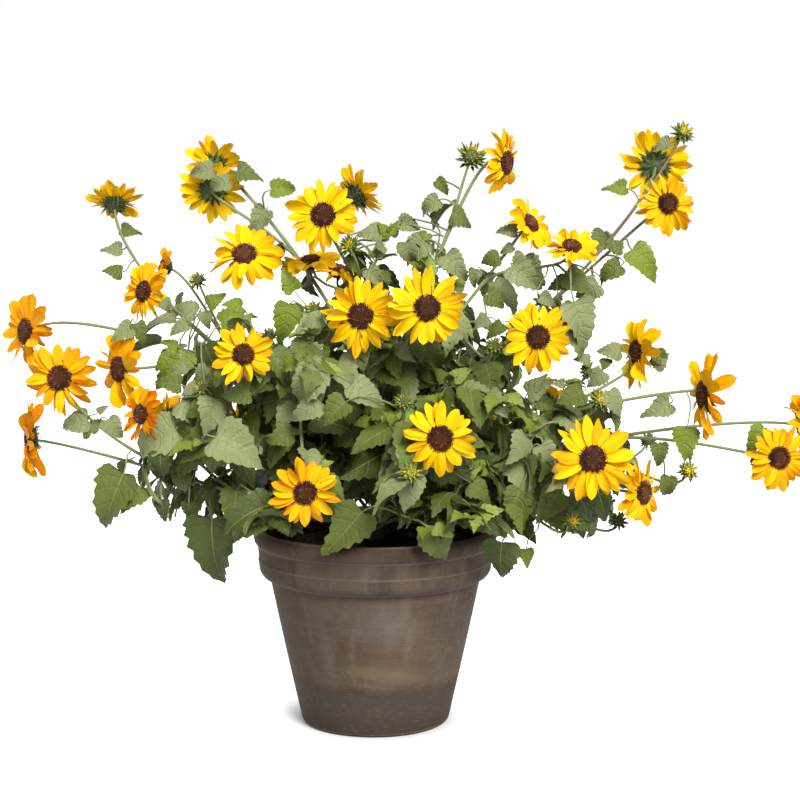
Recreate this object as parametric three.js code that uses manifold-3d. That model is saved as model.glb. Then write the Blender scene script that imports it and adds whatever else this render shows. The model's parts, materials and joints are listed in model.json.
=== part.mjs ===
// A branching sunflower plant in a clay pot, in millimetres, +Z up.
// The origin is the middle of the pot's flat underside. -Y is the front and +X the right.
// The plant is a short stem that stands on the soil, one bough for each shoot, and a mass of twigs,
// leaves and heads at the end of each bough, with leafy sprays between the boughs.

import * as THREE from 'three';
import { mergeVertices } from 'three/addons/utils/BufferGeometryUtils.js';
import { OBB } from 'three/addons/math/OBB.js';
import Module from 'manifold-3d';

const wasm = await Module();
wasm.setup();

// Pot
const FOOT_RADIUS = 85;
const FOOT_CHAMFER = 3;
const BODY_TOP_RADIUS = 121;
const COLLAR_LOW = 168;
const COLLAR_RADIUS = 133;
const RIDGE_HEIGHT = 189;
const RIDGE_PROUD = 1.2;
const STEP_HEIGHT = 206;
const LIP_RADIUS = 140;
const RIM_HEIGHT = 226;
const RIM_INSIDE_RADIUS = 127;
const WALL = 11;
const FLOOR_THICKNESS = 14;
const POT_SEGMENTS = 32;
const DRAIN_HOLES = 3;
const DRAIN_HOLE_RADIUS = 6;
const DRAIN_CIRCLE_RADIUS = 45;

// Soil and stem
const CLEARANCE = 0.3;
const FINEST_DETAIL = 0.02;
const MERGE_DISTANCE = 1e-3;
const SOIL_HEIGHT = 211;
const STEM_HEIGHT = 405;
const STEM_LEAN_X = 8;
const STEM_LEAN_Y = -6;
const STEM_FOOT_RADIUS = 10.5;
const STEM_RADIUS = 6.6;
const STEM_TIP_RADIUS = 3.6;
const FLARE_LENGTH = 0.16;
const STEM_SIDES = 8;
const STEM_RINGS = 9;

// Boughs, twigs and stalks
const FIRST_BOUGH_HEIGHT = 232;
const LAST_BOUGH_HEIGHT = 396;
const BOUGH_RADIUS = 3.3;
const BOUGH_TIP_RADIUS = 2.5;
const BOUGH_SHARE = 0.3;
const BOUGH_SIDES = 5;
const BOUGH_RINGS = 3;
const BOUGH_RISE = 0.34;
const STEEPEST = 1.1;
const TWIG_SIDES = 3;
const TWIG_RINGS = 4;
const STALK_RINGS = 3;
const STALK_RADIUS = 2.1;
const NECK_RADIUS = 1.5;
const NECK_LENGTH = 34;
const STALK_BACKSTEP = 0.4;
const LAST_STALK = 0.86;

// Heads and buds
const PETALS = 12;
const NOTCH_SHARE = 0.6;
const DISC_SHARE = 0.18;
const DISC_CROWN = 6;
const CALYX_RADIUS = 12;
const CALYX_DEPTH = 9;
const BUD_SIDES = 4;

// Leaves
const LEAF_STEP = 42;
const LEAF_CROWDING = 1.35;
const LEAF_TURNS = 4;
const GOLDEN_ANGLE = 137.5;
const PETIOLE = 18;
const LEAF_NEAR = 98;
const LEAF_FAR = 42;
const LEAF_REACH = 420;
const LEAF_HALF_WIDTH = 0.34;
const LEAF_HALF_THICKNESS = 1.1;
const RIDGE_PLACE = 0.12;
const PETIOLE_HALF_WIDTH = 1.3;
const ROOT_DEPTH = 1.2;
const LEAF_DROOP = 42;
const LEAF_DROOP_SPREAD = 56;
const LEAF_ROLL_SPREAD = 60;

// Leafy sprays round the stem: each ring's reach is to the front, and wide is how much more to the sides.
const SPRAY_RINGS = [
  { name: 'skirt', count: 7, height: 219, climb: 2, compass: 20, reach: 126, wide: 1, rise: 34, bow: 8 },
  { name: 'waist', count: 5, height: 262, climb: 6, compass: 8, reach: 120, wide: 0.8, rise: 48, bow: 12 },
  { name: 'heart', count: 4, height: 320, climb: 8, compass: 50, reach: 104, wide: 0.8, rise: 66, bow: 10 },
];
const SPRAY_RADIUS = 2.4;
const SPRAY_ROOT = 6;
const SPRAY_TURN = 7;
const SPRAY_TRIES = 20;
const SPRAY_LEAF_STEP = 13;

const COLOURS = {
  clay: 0x6f5f50, soil: 0x2c241d, stem: 0x66743f, leaf: 0x56683f, head: 0x8f8a35,
};

// The shoots. Each head is its place, the compass of its face (0 front, 90 right), the lift of its
// face, its width across the petals and how far the petals stand up (or hang, below 0).
// Each bud is its place and its width. The first head ends the shoot, and bow arches its stem.
const SHOOTS = {
  left_low: {
    bow: -120,
    heads: [[-342, -90, 405, -12, 10, 80, 0], [-398, 20, 322, -85, 0, 86, 0],
      [-255, -74, 364, -44, 4, 62, 8]],
    buds: [],
  },
  left_mid: {
    bow: 80,
    heads: [[-393, -10, 450, -50, 5, 84, 0], [-286, -30, 409, -52, 0, 82, 0]],
    buds: [],
  },
  left_high: {
    bow: -95,
    heads: [[-309, 110, 593, 180, 52, 64, 20], [-263, 20, 493, -42, 10, 70, 0],
      [-246, 70, 519, -78, 14, 46, 24]],
    buds: [[-205, 40, 505, 12]],
  },
  left_back: {
    bow: 75,
    heads: [[-197, 175, 637, 168, 14, 74, 5], [-195, 128, 609, 178, 10, 76, 0],
      [-147, 0, 536, 0, 42, 82, 0]],
    buds: [],
  },
  crown: {
    bow: 10,
    heads: [[-22, 80, 603, 126, 34, 70, 20], [-57, -30, 581, 4, 10, 80, 0], [-74, 30, 527, -25, 72, 66, 0],
      [-44, 92, 514, 35, 68, 60, 0]],
    buds: [[-28, -6, 546, 14]],
  },
  middle: {
    bow: 5,
    heads: [[57, -135, 484, 6, 8, 83, 0], [-14, -112, 474, -2, 6, 82, 0]],
    buds: [[-66, -70, 478, 12]],
  },
  front_left: {
    bow: 20,
    heads: [[-139, -130, 434, 15, 15, 68, 0], [-70, -190, 295, -6, 4, 72, 0]],
    buds: [[-186, -92, 394, 12]],
  },
  front: {
    bow: 20,
    heads: [[70, -210, 355, 0, 2, 78, 0]],
    buds: [[40, -232, 322, 14], [33, -150, 386, 12]],
  },
  front_right: {
    bow: 15,
    heads: [[229, -190, 330, 6, 10, 86, 0], [292, -108, 282, 48, 4, 72, 0]],
    buds: [[212, -146, 256, 13], [272, -66, 243, 12]],
  },
  right_mid: {
    bow: 45,
    heads: [[367, -50, 382, -68, 0, 94, 0], [297, -8, 426, -60, 4, 78, 0]],
    buds: [[249, -62, 378, 14], [238, -40, 408, 11]],
  },
  right_far: {
    bow: 50,
    heads: [[492, 14, 340, 78, 12, 72, -12], [448, -66, 314, 12, 4, 72, 0]],
    buds: [[343, -100, 304, 13]],
  },
  right_high: {
    bow: -22,
    heads: [[176, 22, 570, 52, 30, 62, 8], [219, -32, 545, 10, 52, 60, 10],
      [176, -118, 452, 5, 6, 75, 0]],
    buds: [[132, -92, 440, 12]],
  },
  top: {
    bow: 50,
    heads: [[150, 60, 640, 60, -6, 78, -14]],
    buds: [[112, 90, 647, 20]],
  },
  top_right: {
    bow: -80,
    heads: [[331, 118, 638, 178, 4, 84, 0], [334, 30, 593, 14, 6, 69, 0]],
    buds: [[362, 110, 676, 15]],
  },
  back_left_high: {
    bow: 15,
    heads: [[-169, 228, 403, -158, 18, 72, 0], [-101, 292, 357, 176, 12, 72, 0]],
    buds: [[-138, 250, 424, 13]],
  },
  back_left_low: {
    bow: 20,
    heads: [[-262, 196, 322, -128, 6, 78, 0], [-172, 272, 306, -160, 4, 70, 0]],
    buds: [[-232, 246, 348, 12]],
  },
  back_mid_high: {
    bow: 20,
    heads: [[26, 262, 390, 180, 22, 76, 0], [64, 322, 455, 172, 24, 74, 0]],
    buds: [[-34, 286, 452, 14]],
  },
  back_mid_low: {
    bow: 25,
    heads: [[-35, 340, 289, -174, 4, 74, 0], [58, 296, 288, 164, 0, 70, 0]],
    buds: [[-92, 306, 340, 12]],
  },
  back_right_high: {
    bow: 20,
    heads: [[201, 236, 423, 152, 16, 76, 0], [211, 176, 348, 124, 10, 68, 0]],
    buds: [[206, 226, 470, 13]],
  },
  back_right_low: {
    bow: 25,
    heads: [[268, 196, 276, 130, 4, 78, 0], [150, 286, 296, 162, 8, 72, 0]],
    buds: [[330, 136, 306, 12]],
  },
};

const UP = new THREE.Vector3(0, 0, 1);

// A repeatable number from 0 to 1 for a list of whole numbers.
function dice(...keys) {
  let state = 2166136261;
  for (const key of [...keys, 7, 11]) {
    state = Math.imul(state ^ (key & 0xffff), 16777619);
    state ^= state >>> 13;
  }
  return (state >>> 0) / 4294967296;
}

// A direction from its compass (0 is the front, 90 the right) and its lift above level.
function heading(compass, lift) {
  const turn = THREE.MathUtils.degToRad(compass);
  const tilt = THREE.MathUtils.degToRad(lift);
  const level = Math.cos(tilt);
  return new THREE.Vector3(Math.sin(turn) * level, -Math.cos(turn) * level, Math.sin(tilt));
}

// A set of three directions with its Y along one direction and its Z as near another as it can be.
function basis(along, near) {
  const y = along.clone().normalize();
  const x = new THREE.Vector3().crossVectors(y, near).normalize();
  const z = new THREE.Vector3().crossVectors(x, y);
  return new THREE.Matrix4().makeBasis(x, y, z);
}

// ---- Solids -------------------------------------------------------------------------------

// Moves every point of a geometry by a rule.
function reshape(geometry, rule) {
  const points = geometry.attributes.position;
  const point = new THREE.Vector3();
  for (let i = 0; i < points.count; i += 1) {
    point.fromBufferAttribute(points, i);
    const moved = rule(point);
    points.setXYZ(i, moved.x, moved.y, moved.z);
  }
  return geometry;
}

function signedVolume(vertices, triangles) {
  const a = new THREE.Vector3();
  const b = new THREE.Vector3();
  const c = new THREE.Vector3();
  let total = 0;
  for (let i = 0; i < triangles.length; i += 3) {
    a.fromArray(vertices, triangles[i] * 3);
    b.fromArray(vertices, triangles[i + 1] * 3);
    c.fromArray(vertices, triangles[i + 2] * 3);
    total += a.dot(b.cross(c)) / 6;
  }
  return total;
}

// A solid from a closed geometry: shared points are merged and triangles with no area are dropped.
function solidOf(geometry, tolerance = 1e-4) {
  geometry.deleteAttribute('normal');
  geometry.deleteAttribute('uv');
  const merged = mergeVertices(geometry, tolerance);
  const vertices = merged.attributes.position.array;
  const index = merged.index.array;
  const triangles = [];
  for (let i = 0; i < index.length; i += 3) {
    const [a, b, c] = [index[i], index[i + 1], index[i + 2]];
    if (a !== b && b !== c && c !== a) triangles.push(a, b, c);
  }
  if (signedVolume(vertices, triangles) < 0) triangles.reverse();
  return new wasm.Manifold(new wasm.Mesh({
    numProp: 3,
    vertProperties: new Float32Array(vertices),
    triVerts: new Uint32Array(triangles),
  }));
}

function geometryOf(vertices, triangles) {
  const geometry = new THREE.BufferGeometry();
  geometry.setAttribute('position', new THREE.BufferAttribute(vertices, 3));
  geometry.setIndex(triangles);
  return geometry;
}

// The geometry of a solid's outer skin. Slivers finer than the finest detail are cleared away, and
// hollows that joining sealed in and loose scraps are left out.
function skinOf(solid) {
  const rough = solid.simplify(FINEST_DETAIL).getMesh();
  const merged = solidOf(geometryOf(rough.vertProperties, [...rough.triVerts]), MERGE_DISTANCE);
  const mesh = merged.getMesh();
  const parent = Array.from({ length: mesh.vertProperties.length / 3 }, (_, i) => i);
  const root = (i) => {
    let top = i;
    while (parent[top] !== top) top = parent[top];
    parent[i] = top;
    return top;
  };
  const triangles = mesh.triVerts;
  for (let i = 0; i < triangles.length; i += 3) {
    parent[root(triangles[i])] = root(triangles[i + 1]);
    parent[root(triangles[i + 1])] = root(triangles[i + 2]);
  }
  const shells = new Map();
  for (let i = 0; i < triangles.length; i += 3) {
    const shell = root(triangles[i]);
    if (!shells.has(shell)) shells.set(shell, []);
    shells.get(shell).push(triangles[i], triangles[i + 1], triangles[i + 2]);
  }
  const volume = (shell) => signedVolume(mesh.vertProperties, shell);
  const largest = [...shells.values()].reduce((a, b) => (volume(b) > volume(a) ? b : a));
  return geometryOf(mesh.vertProperties, largest);
}

const joined = (solids) => wasm.Manifold.union(solids);

const finish = (colour, roughness) => new THREE.MeshStandardMaterial({ color: colour, roughness });
const FINISHES = {
  clay: finish(COLOURS.clay, 0.95),
  soil: finish(COLOURS.soil, 1),
  stem: finish(COLOURS.stem, 0.8),
  leaf: finish(COLOURS.leaf, 0.85),
  head: finish(COLOURS.head, 0.8),
};

const plant = new THREE.Group();

function addNode(name, solid, material) {
  const mesh = new THREE.Mesh(skinOf(solid), material);
  mesh.name = name;
  plant.add(mesh);
}

// ---- Pot and soil -------------------------------------------------------------------------

// A solid of revolution about Z from a profile of [radius, height].
function turned(profile) {
  const points = profile.map(([radius, height]) => new THREE.Vector2(radius, height));
  return solidOf(new THREE.LatheGeometry(points, POT_SEGMENTS).rotateX(Math.PI / 2));
}

const bodySlope = (BODY_TOP_RADIUS - FOOT_RADIUS) / COLLAR_LOW;
const insideRadius = (height) => FOOT_RADIUS + bodySlope * height - WALL;

function makePot() {
  const lipMiddle = (STEP_HEIGHT + RIM_HEIGHT) / 2 + 1;
  const collarTop = COLLAR_RADIUS + 2;
  const pot = turned([
    [0, 0],
    [FOOT_RADIUS - FOOT_CHAMFER, 0],
    [FOOT_RADIUS, FOOT_CHAMFER],
    [BODY_TOP_RADIUS, COLLAR_LOW],
    [COLLAR_RADIUS - 4, COLLAR_LOW + 3],
    [COLLAR_RADIUS, COLLAR_LOW + 9],
    [COLLAR_RADIUS + 1, RIDGE_HEIGHT - 1.5],
    [COLLAR_RADIUS + 1 + RIDGE_PROUD, RIDGE_HEIGHT],
    [COLLAR_RADIUS + 1, RIDGE_HEIGHT + 1.5],
    [collarTop, STEP_HEIGHT],
    [LIP_RADIUS - 1, STEP_HEIGHT + 4],
    [LIP_RADIUS, lipMiddle],
    [LIP_RADIUS - 3, RIM_HEIGHT - 3],
    [LIP_RADIUS - 7, RIM_HEIGHT],
    [RIM_INSIDE_RADIUS + 2, RIM_HEIGHT - 1],
    [RIM_INSIDE_RADIUS, RIM_HEIGHT - 6],
    [insideRadius(COLLAR_LOW) + 3, COLLAR_LOW],
    [insideRadius(FLOOR_THICKNESS), FLOOR_THICKNESS],
    [0, FLOOR_THICKNESS],
  ]);
  const holes = [];
  for (let i = 0; i < DRAIN_HOLES; i += 1) {
    const turn = (i / DRAIN_HOLES) * 2 * Math.PI;
    const hole = new THREE.CylinderGeometry(DRAIN_HOLE_RADIUS, DRAIN_HOLE_RADIUS, 3 * FLOOR_THICKNESS, 12);
    hole.rotateX(Math.PI / 2);
    hole.translate(DRAIN_CIRCLE_RADIUS * Math.cos(turn), DRAIN_CIRCLE_RADIUS * Math.sin(turn), 0);
    holes.push(solidOf(hole));
  }
  return pot.subtract(joined(holes));
}

function makeSoil() {
  const bottom = FLOOR_THICKNESS + CLEARANCE;
  const gap = CLEARANCE + 0.1;
  const edgeHeight = SOIL_HEIGHT - 3;
  const rimShare = (edgeHeight - COLLAR_LOW) / (RIM_HEIGHT - 6 - COLLAR_LOW);
  const collarInside = insideRadius(COLLAR_LOW) + 3;
  const topRadius = collarInside + (RIM_INSIDE_RADIUS - collarInside) * rimShare - gap;
  return turned([
    [0, bottom],
    [insideRadius(FLOOR_THICKNESS) - gap, bottom],
    [collarInside - gap, COLLAR_LOW],
    [topRadius, edgeHeight],
    [topRadius - 22, SOIL_HEIGHT],
    [0, SOIL_HEIGHT],
  ]);
}

// ---- Limbs --------------------------------------------------------------------------------

const stemFoot = new THREE.Vector3(0, 0, SOIL_HEIGHT + CLEARANCE);

// The stem's curve, which leans a little, up to a given height.
function stemCurveTo(height) {
  const rise = height - stemFoot.z;
  return new THREE.CubicBezierCurve3(
    stemFoot,
    new THREE.Vector3(0, 0, stemFoot.z + rise / 3),
    new THREE.Vector3(STEM_LEAN_X, STEM_LEAN_Y, stemFoot.z + (2 * rise) / 3),
    new THREE.Vector3(STEM_LEAN_X, STEM_LEAN_Y, height),
  );
}

const stemCurve = stemCurveTo(STEM_HEIGHT);
const onStem = (height) => stemCurve.getPoint((height - stemFoot.z) / (STEM_HEIGHT - stemFoot.z));

// The stem flares to its foot and tapers to its tip.
function stemRadius(share) {
  const taper = STEM_RADIUS + (STEM_TIP_RADIUS - STEM_RADIUS) * share;
  const flare = Math.max(0, 1 - share / FLARE_LENGTH);
  return taper + (STEM_FOOT_RADIUS - STEM_RADIUS) * flare * flare;
}

// The direction square to the plane that a curve bends in.
function bendAxis(curve) {
  const chord = curve.getPoint(1).sub(curve.getPoint(0));
  const axis = chord.clone().cross(curve.getPoint(0.5).sub(curve.getPoint(0)));
  if (axis.length() < 1) axis.crossVectors(chord, new THREE.Vector3(0.6, 0.8, 0.1));
  return axis.normalize();
}

// A limb along a stretch of a curve: a closed cylinder whose rings are laid square to it.
function limb(curve, start, end, radiusAt, sides, rings) {
  const axis = bendAxis(curve);
  const cylinder = new THREE.CylinderGeometry(1, 1, 1, sides, rings);
  return solidOf(reshape(cylinder, (point) => {
    const share = point.y + 0.5;
    const place = start + (end - start) * share;
    const along = curve.getTangent(place);
    const side = new THREE.Vector3().crossVectors(along, axis).normalize();
    const other = new THREE.Vector3().crossVectors(side, along);
    const across = side.multiplyScalar(point.x).addScaledVector(other, point.z);
    return curve.getPoint(place).addScaledVector(across, radiusAt(share));
  }));
}

const taper = (from, to) => (share) => from + (to - from) * share;

// ---- Space: every limb, head and leaf keeps to boxes that other nodes stay out of -----------

const taken = [];

function boxAlong(start, end, halfWidth, halfThickness, near) {
  const middle = start.clone().add(end).multiplyScalar(0.5);
  const half = new THREE.Vector3(halfWidth, start.distanceTo(end) / 2, halfThickness);
  const turn = new THREE.Matrix3().setFromMatrix4(basis(end.clone().sub(start), near));
  return new OBB(middle, half, turn);
}

function boxesAlong(curve, start, end, radius, count) {
  const axis = bendAxis(curve);
  const boxes = [];
  for (let i = 0; i < count; i += 1) {
    const from = curve.getPoint(start + ((end - start) * i) / count);
    const to = curve.getPoint(start + ((end - start) * (i + 1)) / count);
    boxes.push(boxAlong(from, to, radius, radius, axis));
  }
  return boxes;
}

function take(node, kind, boxes) {
  for (const box of boxes) taken.push({ node, kind, box });
}

// Boxes are free where nothing has taken room, apart from what they grow out of.
function isFree(boxes, carriers = []) {
  return boxes.every((box) => taken.every((other) => (
    (other.kind !== 'head' && carriers.includes(other.node)) || !box.intersectsOBB(other.box))));
}

// A leaf may lie over the pot's rim or hang outside it, and no part of it dips lower within.
function clearOfPot({ root, along, near, blade }) {
  const frame = basis(along, near).setPosition(root);
  for (let i = 0; i <= 8; i += 1) {
    for (const across of [-LEAF_HALF_WIDTH, 0, LEAF_HALF_WIDTH]) {
      const point = new THREE.Vector3(across * blade, (i / 8) * (PETIOLE + blade), -3).applyMatrix4(frame);
      if (point.z < RIM_HEIGHT + 1 && Math.hypot(point.x, point.y) < LIP_RADIUS + 2) return false;
    }
  }
  return true;
}

// ---- Shoots -------------------------------------------------------------------------------

// Heads on stalks: a stalk leaves its parent along it and comes into the back of the head.
function stalkCurve(from, leaving, place, facing, bow) {
  const reach = from.distanceTo(place);
  const neck = Math.min(NECK_LENGTH, 0.4 * reach);
  const back = place.clone().addScaledVector(facing, -0.6 * CALYX_DEPTH);
  return new THREE.CubicBezierCurve3(
    from,
    from.clone().addScaledVector(leaving, BOUGH_RISE * reach).addScaledVector(UP, bow),
    back.clone().addScaledVector(facing, -neck).addScaledVector(UP, 0.5 * bow - 0.1 * neck),
    back,
  );
}

// Where a side stalk leaves the spine: well before the point of the spine nearest its head.
function stalkPlace(spine, place) {
  let nearest = 0;
  let least = Infinity;
  for (let i = 0; i <= 24; i += 1) {
    const distance = spine.getPoint(i / 24).distanceTo(place);
    if (distance < least) {
      least = distance;
      nearest = i / 24;
    }
  }
  return THREE.MathUtils.clamp(nearest - STALK_BACKSTEP, BOUGH_SHARE + 0.04, LAST_STALK);
}

function readShoots() {
  const shoots = Object.entries(SHOOTS).map(([name, shoot], index) => {
    const heads = shoot.heads.map(([x, y, z, compass, lift, width, cup]) => (
      { kind: 'head', place: new THREE.Vector3(x, y, z), facing: heading(compass, lift), width, cup }));
    const buds = shoot.buds.map(([x, y, z, width]) => {
      const outward = new THREE.Vector3(x, y, 0).normalize();
      const facing = outward.multiplyScalar(0.5).add(UP).normalize();
      return { kind: 'bud', place: new THREE.Vector3(x, y, z), facing, width, cup: 0 };
    });
    const { x, y, z } = heads[0].place;
    const steepness = (z - SOIL_HEIGHT) / Math.hypot(x, y);
    return { name, index, bow: shoot.bow, ends: [...heads, ...buds], steepness };
  });
  const order = [...shoots].sort((a, b) => a.steepness - b.steepness);
  order.forEach((shoot, rank) => {
    const share = rank / (order.length - 1);
    const foot = onStem(FIRST_BOUGH_HEIGHT + share * (LAST_BOUGH_HEIGHT - FIRST_BOUGH_HEIGHT));
    const first = shoot.ends[0];
    const chord = first.place.clone().sub(foot);
    const level = Math.hypot(chord.x, chord.y);
    const leaving = chord.setZ(Math.min(chord.z, STEEPEST * level)).normalize();
    shoot.spine = stalkCurve(foot, leaving, first.place, first.facing, shoot.bow);
    shoot.stalks = shoot.ends.slice(1).map((end) => {
      const at = stalkPlace(shoot.spine, end.place);
      const from = shoot.spine.getPoint(at);
      return stalkCurve(from, shoot.spine.getTangent(at), end.place, end.facing, 0);
    });
  });
  return shoots;
}

// A head: petals in a star with a knife edge round a domed disc, on a shallow green cup.
// It is a closed lathe form whose rings are then moved: the petal ring goes in and out, the disc's
// ring keeps one point for each petal and the cup's ring one for each pair.
function headSolid(end, turn) {
  const half = end.width / 2;
  const rise = THREE.MathUtils.degToRad(end.cup);
  const disc = DISC_SHARE * end.width;
  const rings = [0, 1, 2, 3, 4].map((row) => new THREE.Vector2(row === 0 || row === 4 ? 0 : 1, row));
  const lathe = new THREE.LatheGeometry(rings, 2 * PETALS);
  const frame = basis(end.facing, heading(turn, 0));
  return solidOf(reshape(lathe, (point) => {
    const row = Math.round(point.y);
    const spoke = Math.round((Math.atan2(point.x, point.z) / Math.PI) * PETALS);
    const isNotch = spoke % 2 !== 0;
    const reach = half * (isNotch ? NOTCH_SHARE : 1) - disc;
    const [radius, height] = [
      [0, -CALYX_DEPTH],
      [CALYX_RADIUS, -0.6 * CALYX_DEPTH],
      [disc + reach * Math.cos(rise), reach * Math.sin(rise)],
      [disc, 0.5 * DISC_CROWN],
      [0, DISC_CROWN],
    ][row];
    const spokesMerged = [1, 4, 1, 2, 1][row];
    const angle = ((spokesMerged * Math.floor(spoke / spokesMerged)) / PETALS) * Math.PI;
    const local = new THREE.Vector3(radius * Math.sin(angle), height, radius * Math.cos(angle));
    return local.applyMatrix4(frame).add(end.place);
  }));
}

function headBoxes(end) {
  const half = end.width / 2;
  const top = end.place.clone().addScaledVector(end.facing, DISC_CROWN + 1);
  const back = end.place.clone().addScaledVector(end.facing, -CALYX_DEPTH);
  const rise = THREE.MathUtils.degToRad(end.cup);
  const rim = end.place.clone().addScaledVector(end.facing, half * Math.sin(rise));
  return [
    boxAlong(back, top, CALYX_RADIUS + 2, CALYX_RADIUS + 2, UP),
    boxAlong(
      rim.clone().addScaledVector(end.facing, -3), rim.clone().addScaledVector(end.facing, 4),
      0.86 * half, 0.86 * half, UP,
    ),
  ];
}

function budSolid(end) {
  const half = end.width / 2;
  const profile = [[0, -1.1 * half], [half, -0.3 * half], [0.86 * half, 0.6 * half], [0, half]];
  const points = profile.map(([radius, height]) => new THREE.Vector2(radius, height));
  const lathe = new THREE.LatheGeometry(points, BUD_SIDES);
  const frame = basis(end.facing, heading(0, 0)).setPosition(end.place);
  return solidOf(lathe.applyMatrix4(frame));
}

// ---- Leaves -------------------------------------------------------------------------------

// A leaf with its petiole: a six-cornered outline from root to tip, with a ridge above and below
// that is highest where the blade starts. The root lies just beyond its twig's middle.
function leafSolid({ root, along, near, blade }) {
  const half = LEAF_HALF_WIDTH * blade;
  const shoulder = PETIOLE + 0.2 * blade;
  const outline = [
    [0, -ROOT_DEPTH], [PETIOLE_HALF_WIDTH, PETIOLE], [half, shoulder],
    [0, PETIOLE + blade], [-half, shoulder], [-PETIOLE_HALF_WIDTH, PETIOLE],
  ];
  const rhombus = [new THREE.Vector2(0, -1), new THREE.Vector2(1, 0), new THREE.Vector2(0, 1)];
  const frame = basis(along, near).setPosition(root);
  return solidOf(reshape(new THREE.LatheGeometry(rhombus, outline.length), (point) => {
    const corner = Math.round((Math.atan2(point.x, point.z) / Math.PI) * 3 + 6) % 6;
    const isRidge = Math.abs(point.y) > 0.5;
    const [x, y] = isRidge ? [0, PETIOLE + RIDGE_PLACE * blade] : outline[corner];
    const z = isRidge ? LEAF_HALF_THICKNESS * Math.sign(point.y) : 0;
    return new THREE.Vector3(x, y, z).applyMatrix4(frame);
  }));
}

function leafBoxes({ root, along, near, blade }) {
  const neck = root.clone().addScaledVector(along, PETIOLE);
  const tip = neck.clone().addScaledVector(along, blade);
  const waist = neck.clone().addScaledVector(along, 0.5 * blade);
  return {
    petiole: [boxAlong(root.clone().addScaledVector(along, 4), neck, 1.6, 1.6, near)],
    blade: [
      boxAlong(neck, waist, 0.94 * LEAF_HALF_WIDTH * blade, 2, near),
      boxAlong(waist, tip, 0.18 * blade, 1.6, near),
    ],
  };
}

// Leaf number i of a twig, at a place on it and turned about it.
function leafAt(curve, place, turn, seed, i) {
  const root = curve.getPoint(place);
  const frame = basis(curve.getTangent(place), UP);
  const outward = new THREE.Vector3(root.x, root.y, 0).normalize();
  const hang = LEAF_DROOP + LEAF_DROOP_SPREAD * (dice(seed, i, 1) - 0.5);
  const droop = Math.sin(THREE.MathUtils.degToRad(hang));
  const out = new THREE.Vector3(Math.cos(turn), 0.55, Math.sin(turn)).applyMatrix4(frame);
  const along = out.setZ(0).normalize().addScaledVector(outward, 0.3).setZ(-droop).normalize();
  const roll = THREE.MathUtils.degToRad(LEAF_ROLL_SPREAD * (dice(seed, i, 2) - 0.5));
  const near = UP.clone().applyAxisAngle(along, roll);
  const reach = Math.min(1, Math.hypot(root.x, root.y, root.z - SOIL_HEIGHT) / LEAF_REACH);
  const blade = (LEAF_NEAR + (LEAF_FAR - LEAF_NEAR) * reach) * (0.86 + 0.28 * dice(seed, i, 3));
  return { root, along, near, blade };
}

// Leaves up a twig, closer together near the plant's middle, each a golden angle on from the last.
// A leaf that finds no room is turned on by a quarter, and is skipped if it finds none all round.
function growLeaves(node, curve, start, end, step, seed) {
  const count = Math.floor((curve.getLength() * (end - start)) / step);
  const solids = [];
  for (let i = 0; i < count; i += 1) {
    const place = start + (end - start) * ((i + 0.5) / count) ** LEAF_CROWDING;
    for (let quarter = 0; quarter < LEAF_TURNS; quarter += 1) {
      const turn = THREE.MathUtils.degToRad(GOLDEN_ANGLE * (i + 7 * seed) + 90 * quarter);
      const leaf = leafAt(curve, place, turn, seed, i);
      const boxes = leafBoxes(leaf);
      if (isFree(boxes.petiole, [node]) && isFree(boxes.blade) && clearOfPot(leaf)) {
        take(node, 'leaf', [...boxes.petiole, ...boxes.blade]);
        solids.push(leafSolid(leaf));
        break;
      }
    }
  }
  return solids;
}

// ---- Assembly -----------------------------------------------------------------------------

const stemSolid = limb(stemCurve, 0, 1, stemRadius, STEM_SIDES, STEM_RINGS);
const roomRadius = (share) => stemRadius(share) + 1.3 * CLEARANCE;
const stemRoom = limb(stemCurveTo(STEM_HEIGHT + CLEARANCE), 0, 1, roomRadius, STEM_SIDES, STEM_RINGS);
take('stem', 'limb', boxesAlong(stemCurve, 0, 1, STEM_RADIUS, STEM_RINGS));

addNode('pot', makePot(), FINISHES.clay);
addNode('soil', makeSoil(), FINISHES.soil);
addNode('stem', stemSolid, FINISHES.stem);

// All limbs, stalks, heads and buds take their room first, and the leaves fill what is left.
const shoots = readShoots();
for (const shoot of shoots) {
  const bough = `bough_${shoot.name}`;
  const mass = `mass_${shoot.name}`;
  take(bough, 'limb', boxesAlong(shoot.spine, 0.02, BOUGH_SHARE, BOUGH_RADIUS + CLEARANCE, BOUGH_RINGS));
  take(mass, 'twig', boxesAlong(shoot.spine, BOUGH_SHARE, 1, BOUGH_TIP_RADIUS + CLEARANCE, TWIG_RINGS));
  for (const stalk of shoot.stalks) {
    take(mass, 'twig', boxesAlong(stalk, 0, 1, STALK_RADIUS + CLEARANCE, STALK_RINGS));
  }
  for (const end of shoot.ends) take(mass, 'head', headBoxes(end));
}

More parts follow.
